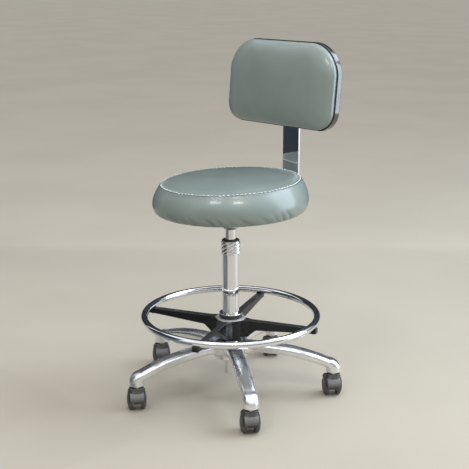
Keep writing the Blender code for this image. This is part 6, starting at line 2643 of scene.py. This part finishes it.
@dataclass
class Stage:
    """Pale floor, soft light and the camera of the photograph."""

    axis: Vector
    floor_radius: float = 60.0
    floor_depth: float = 0.02
    floor_colour: Colour = (0.40, 0.36, 0.29)
    air_colour: Colour = (0.95, 0.97, 1.0)
    air_low: float = 0.20
    air_high: float = 1.1
    air_from: float = 0.10
    air_to: float = 0.60
    camera_offset: Place = (1.8395, -1.8252, 1.118)
    camera_pitch: float = math.radians(14.76)
    camera_turn: float = math.radians(45.0)
    lens: float = 78.97
    sensor: float = 36.0

    def _aim(self, item: Object, target: Vector) -> None:
        """Turn a lamp or card towards a target."""
        item.rotation_euler = (target - item.location).to_track_quat("-Z", "Y").to_euler()

    def camera(self) -> None:
        """Set the camera up."""
        data = bpy.data.cameras.new("camera")
        data.lens = self.lens
        data.sensor_width = self.sensor
        data.clip_end = 100.0
        camera = bpy.data.objects.new("camera", data)
        camera.location = self.axis + Vector(self.camera_offset)
        camera.rotation_euler = (math.pi / 2 - self.camera_pitch, 0.0, self.camera_turn)
        bpy.context.scene.collection.objects.link(camera)
        bpy.context.scene.camera = camera

    def air(self) -> None:
        """Fill the room with air that is dim at the horizon and bright under the ceiling."""
        world = bpy.data.worlds.new("air")
        world.use_nodes = True
        wiring = Wiring(world.node_tree)
        place = wiring.node("ShaderNodeTexCoord").outputs["Generated"]
        up = wiring.node("ShaderNodeSeparateXYZ", {0: place}).outputs[2]
        sky = world.node_tree.nodes["Background"]
        wiring.feed(sky.inputs["Color"], self.air_colour)
        grade = wiring.span(up, self.air_from, self.air_to, self.air_low, self.air_high)
        wiring.feed(sky.inputs["Strength"], grade)
        bpy.context.scene.world = world

    def floor(self) -> None:
        """Lay the floor."""
        graph = Graph("pale_floor")
        cloud = graph.noise(1.3, 4.0)
        darker = tuple(0.94 * part for part in self.floor_colour)
        tone = graph.blend(graph.span(cloud, 0.35, 0.65), self.floor_colour, darker)
        graph.set(Base_Color=tone, Roughness=0.65)
        mesh = pillar("floor", self.floor_radius, -self.floor_depth, 0.0, ROUND)
        mesh.materials.append(graph.material)
        hold(mesh)

    def lamp(
        self, name: str, place: Place, size: Pair, power: float, colour: Colour, target: float = 0.55
    ) -> None:
        """Hang one soft lamp.

        Args:
            name: Name of the lamp.
            place: Place from the column's axis.
            size: Width and height.
            power: Power in watts.
            colour: Colour of its light.
            target: Height on the column's axis that it faces.
        """
        data = bpy.data.lights.new(name, "AREA")
        data.shape = "RECTANGLE"
        data.size, data.size_y = size
        data.energy = power
        data.color = colour
        lamp = bpy.data.objects.new(name, data)
        lamp.location = self.axis + Vector(place)
        self._aim(lamp, self.axis + Vector((0.0, 0.0, target)))
        lamp.visible_camera = False
        bpy.context.scene.collection.objects.link(lamp)

    def card(self, name: str, place: Place, size: Pair, colour: Colour, lying: bool = False) -> None:
        """Set up a dark card that only shows in gloss.

        Args:
            name: Name of the card.
            place: Place of its middle from the column's axis.
            size: Width and height.
            colour: Its colour.
            lying: Lay it down instead of facing the column.
        """
        graph = Graph(f"{name}_cloth")
        fold = graph.span(graph.noise(2.5, 2.0), 0.3, 0.7)
        deeper = tuple(0.4 * part for part in colour)
        graph.set(Base_Color=graph.blend(fold, colour, deeper), Roughness=0.9)
        x, y = size[0] / 2, size[1] / 2
        mesh = bpy.data.meshes.new(name)
        mesh.from_pydata([(-x, -y, 0.0), (x, -y, 0.0), (x, y, 0.0), (-x, y, 0.0)], [], [(0, 1, 2, 3)])
        mesh.materials.append(graph.material)
        card = hold(mesh)
        card.location = self.axis + Vector(place)
        if not lying:
            self._aim(card, self.axis + Vector((0.0, 0.0, place[2])))
        card.visible_camera = False
        card.visible_diffuse = False
        card.visible_shadow = False
        card.visible_transmission = False

    def build(self) -> None:
        """Set up the view, the floor and the light."""
        scene = bpy.context.scene
        scene.view_settings.view_transform = "Standard"
        self.air()
        self.camera()
        self.floor()
        self.lamp("window", (2.70, 2.62, 2.60), (2.7, 6.0), 248.0, (0.74, 0.86, 1.0), 0.8)
        self.lamp("ceiling", (0.35, -0.35, 3.0), (1.8, 1.8), 14.0, (0.97, 0.98, 1.0))
        self.lamp("rear_window", (0.55, 1.50, 2.30), (1.2, 1.2), 16.0, (0.80, 0.89, 1.0), 0.8)
        self.lamp("fill", (-0.9, -2.4, 1.3), (1.5, 1.5), 2.0, (1.0, 0.94, 0.86))
        self.lamp("warm_spot", (1.44, -1.03, 2.2), (0.45, 0.20), 10.0, (1.0, 0.95, 0.86))
        self.lamp("cool_spot", (0.45, -1.68, 2.2), (0.45, 0.20), 9.0, (0.86, 0.93, 1.0))
        self.card("back_card", (-1.05, 1.05, 1.25), (4.2, 2.4), (0.022, 0.026, 0.038))
        self.card("left_card", (-1.45, -1.45, 1.05), (2.0, 2.0), (0.022, 0.026, 0.038))
        self.card("left_mat", (-0.75, -1.15, 0.004), (1.6, 1.6), (0.15, 0.165, 0.16), lying=True)


def main() -> None:
    """Load the frame and dress it, piece by piece."""
    logging.basicConfig(level=logging.INFO, format="%(name)s: %(message)s")
    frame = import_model()
    axis = middle("column_tube")
    axis.z = 0.0
    Stage(axis).build()
    shop = Workshop(frame["nodes"], axis)
    StarBase(shop).build()
    for number in range(1, LEGS + 1):
        Caster(shop, number).build()
    Column(shop).build()
    FootRing(shop).build()
    SeatMechanism(shop).build()
    place = axis + Vector(DEPTH_KNOB)
    ClampKnob(shop, "depth_knob", Body.DEPTH_KNOB, place, Matrix.Identity(4), DEPTH_STUD).build()
    SeatCushion(shop).build()
    BackBar(shop).build()
    Backrest(shop).build()
    place, turn = axis + Vector(HEIGHT_KNOB), Matrix.Rotation(math.pi / 2, 4, "X")
    ClampKnob(shop, "height_knob", Body.HEIGHT_KNOB, place, turn, HEIGHT_STUD).build()


if __name__ == "__main__":
    main()
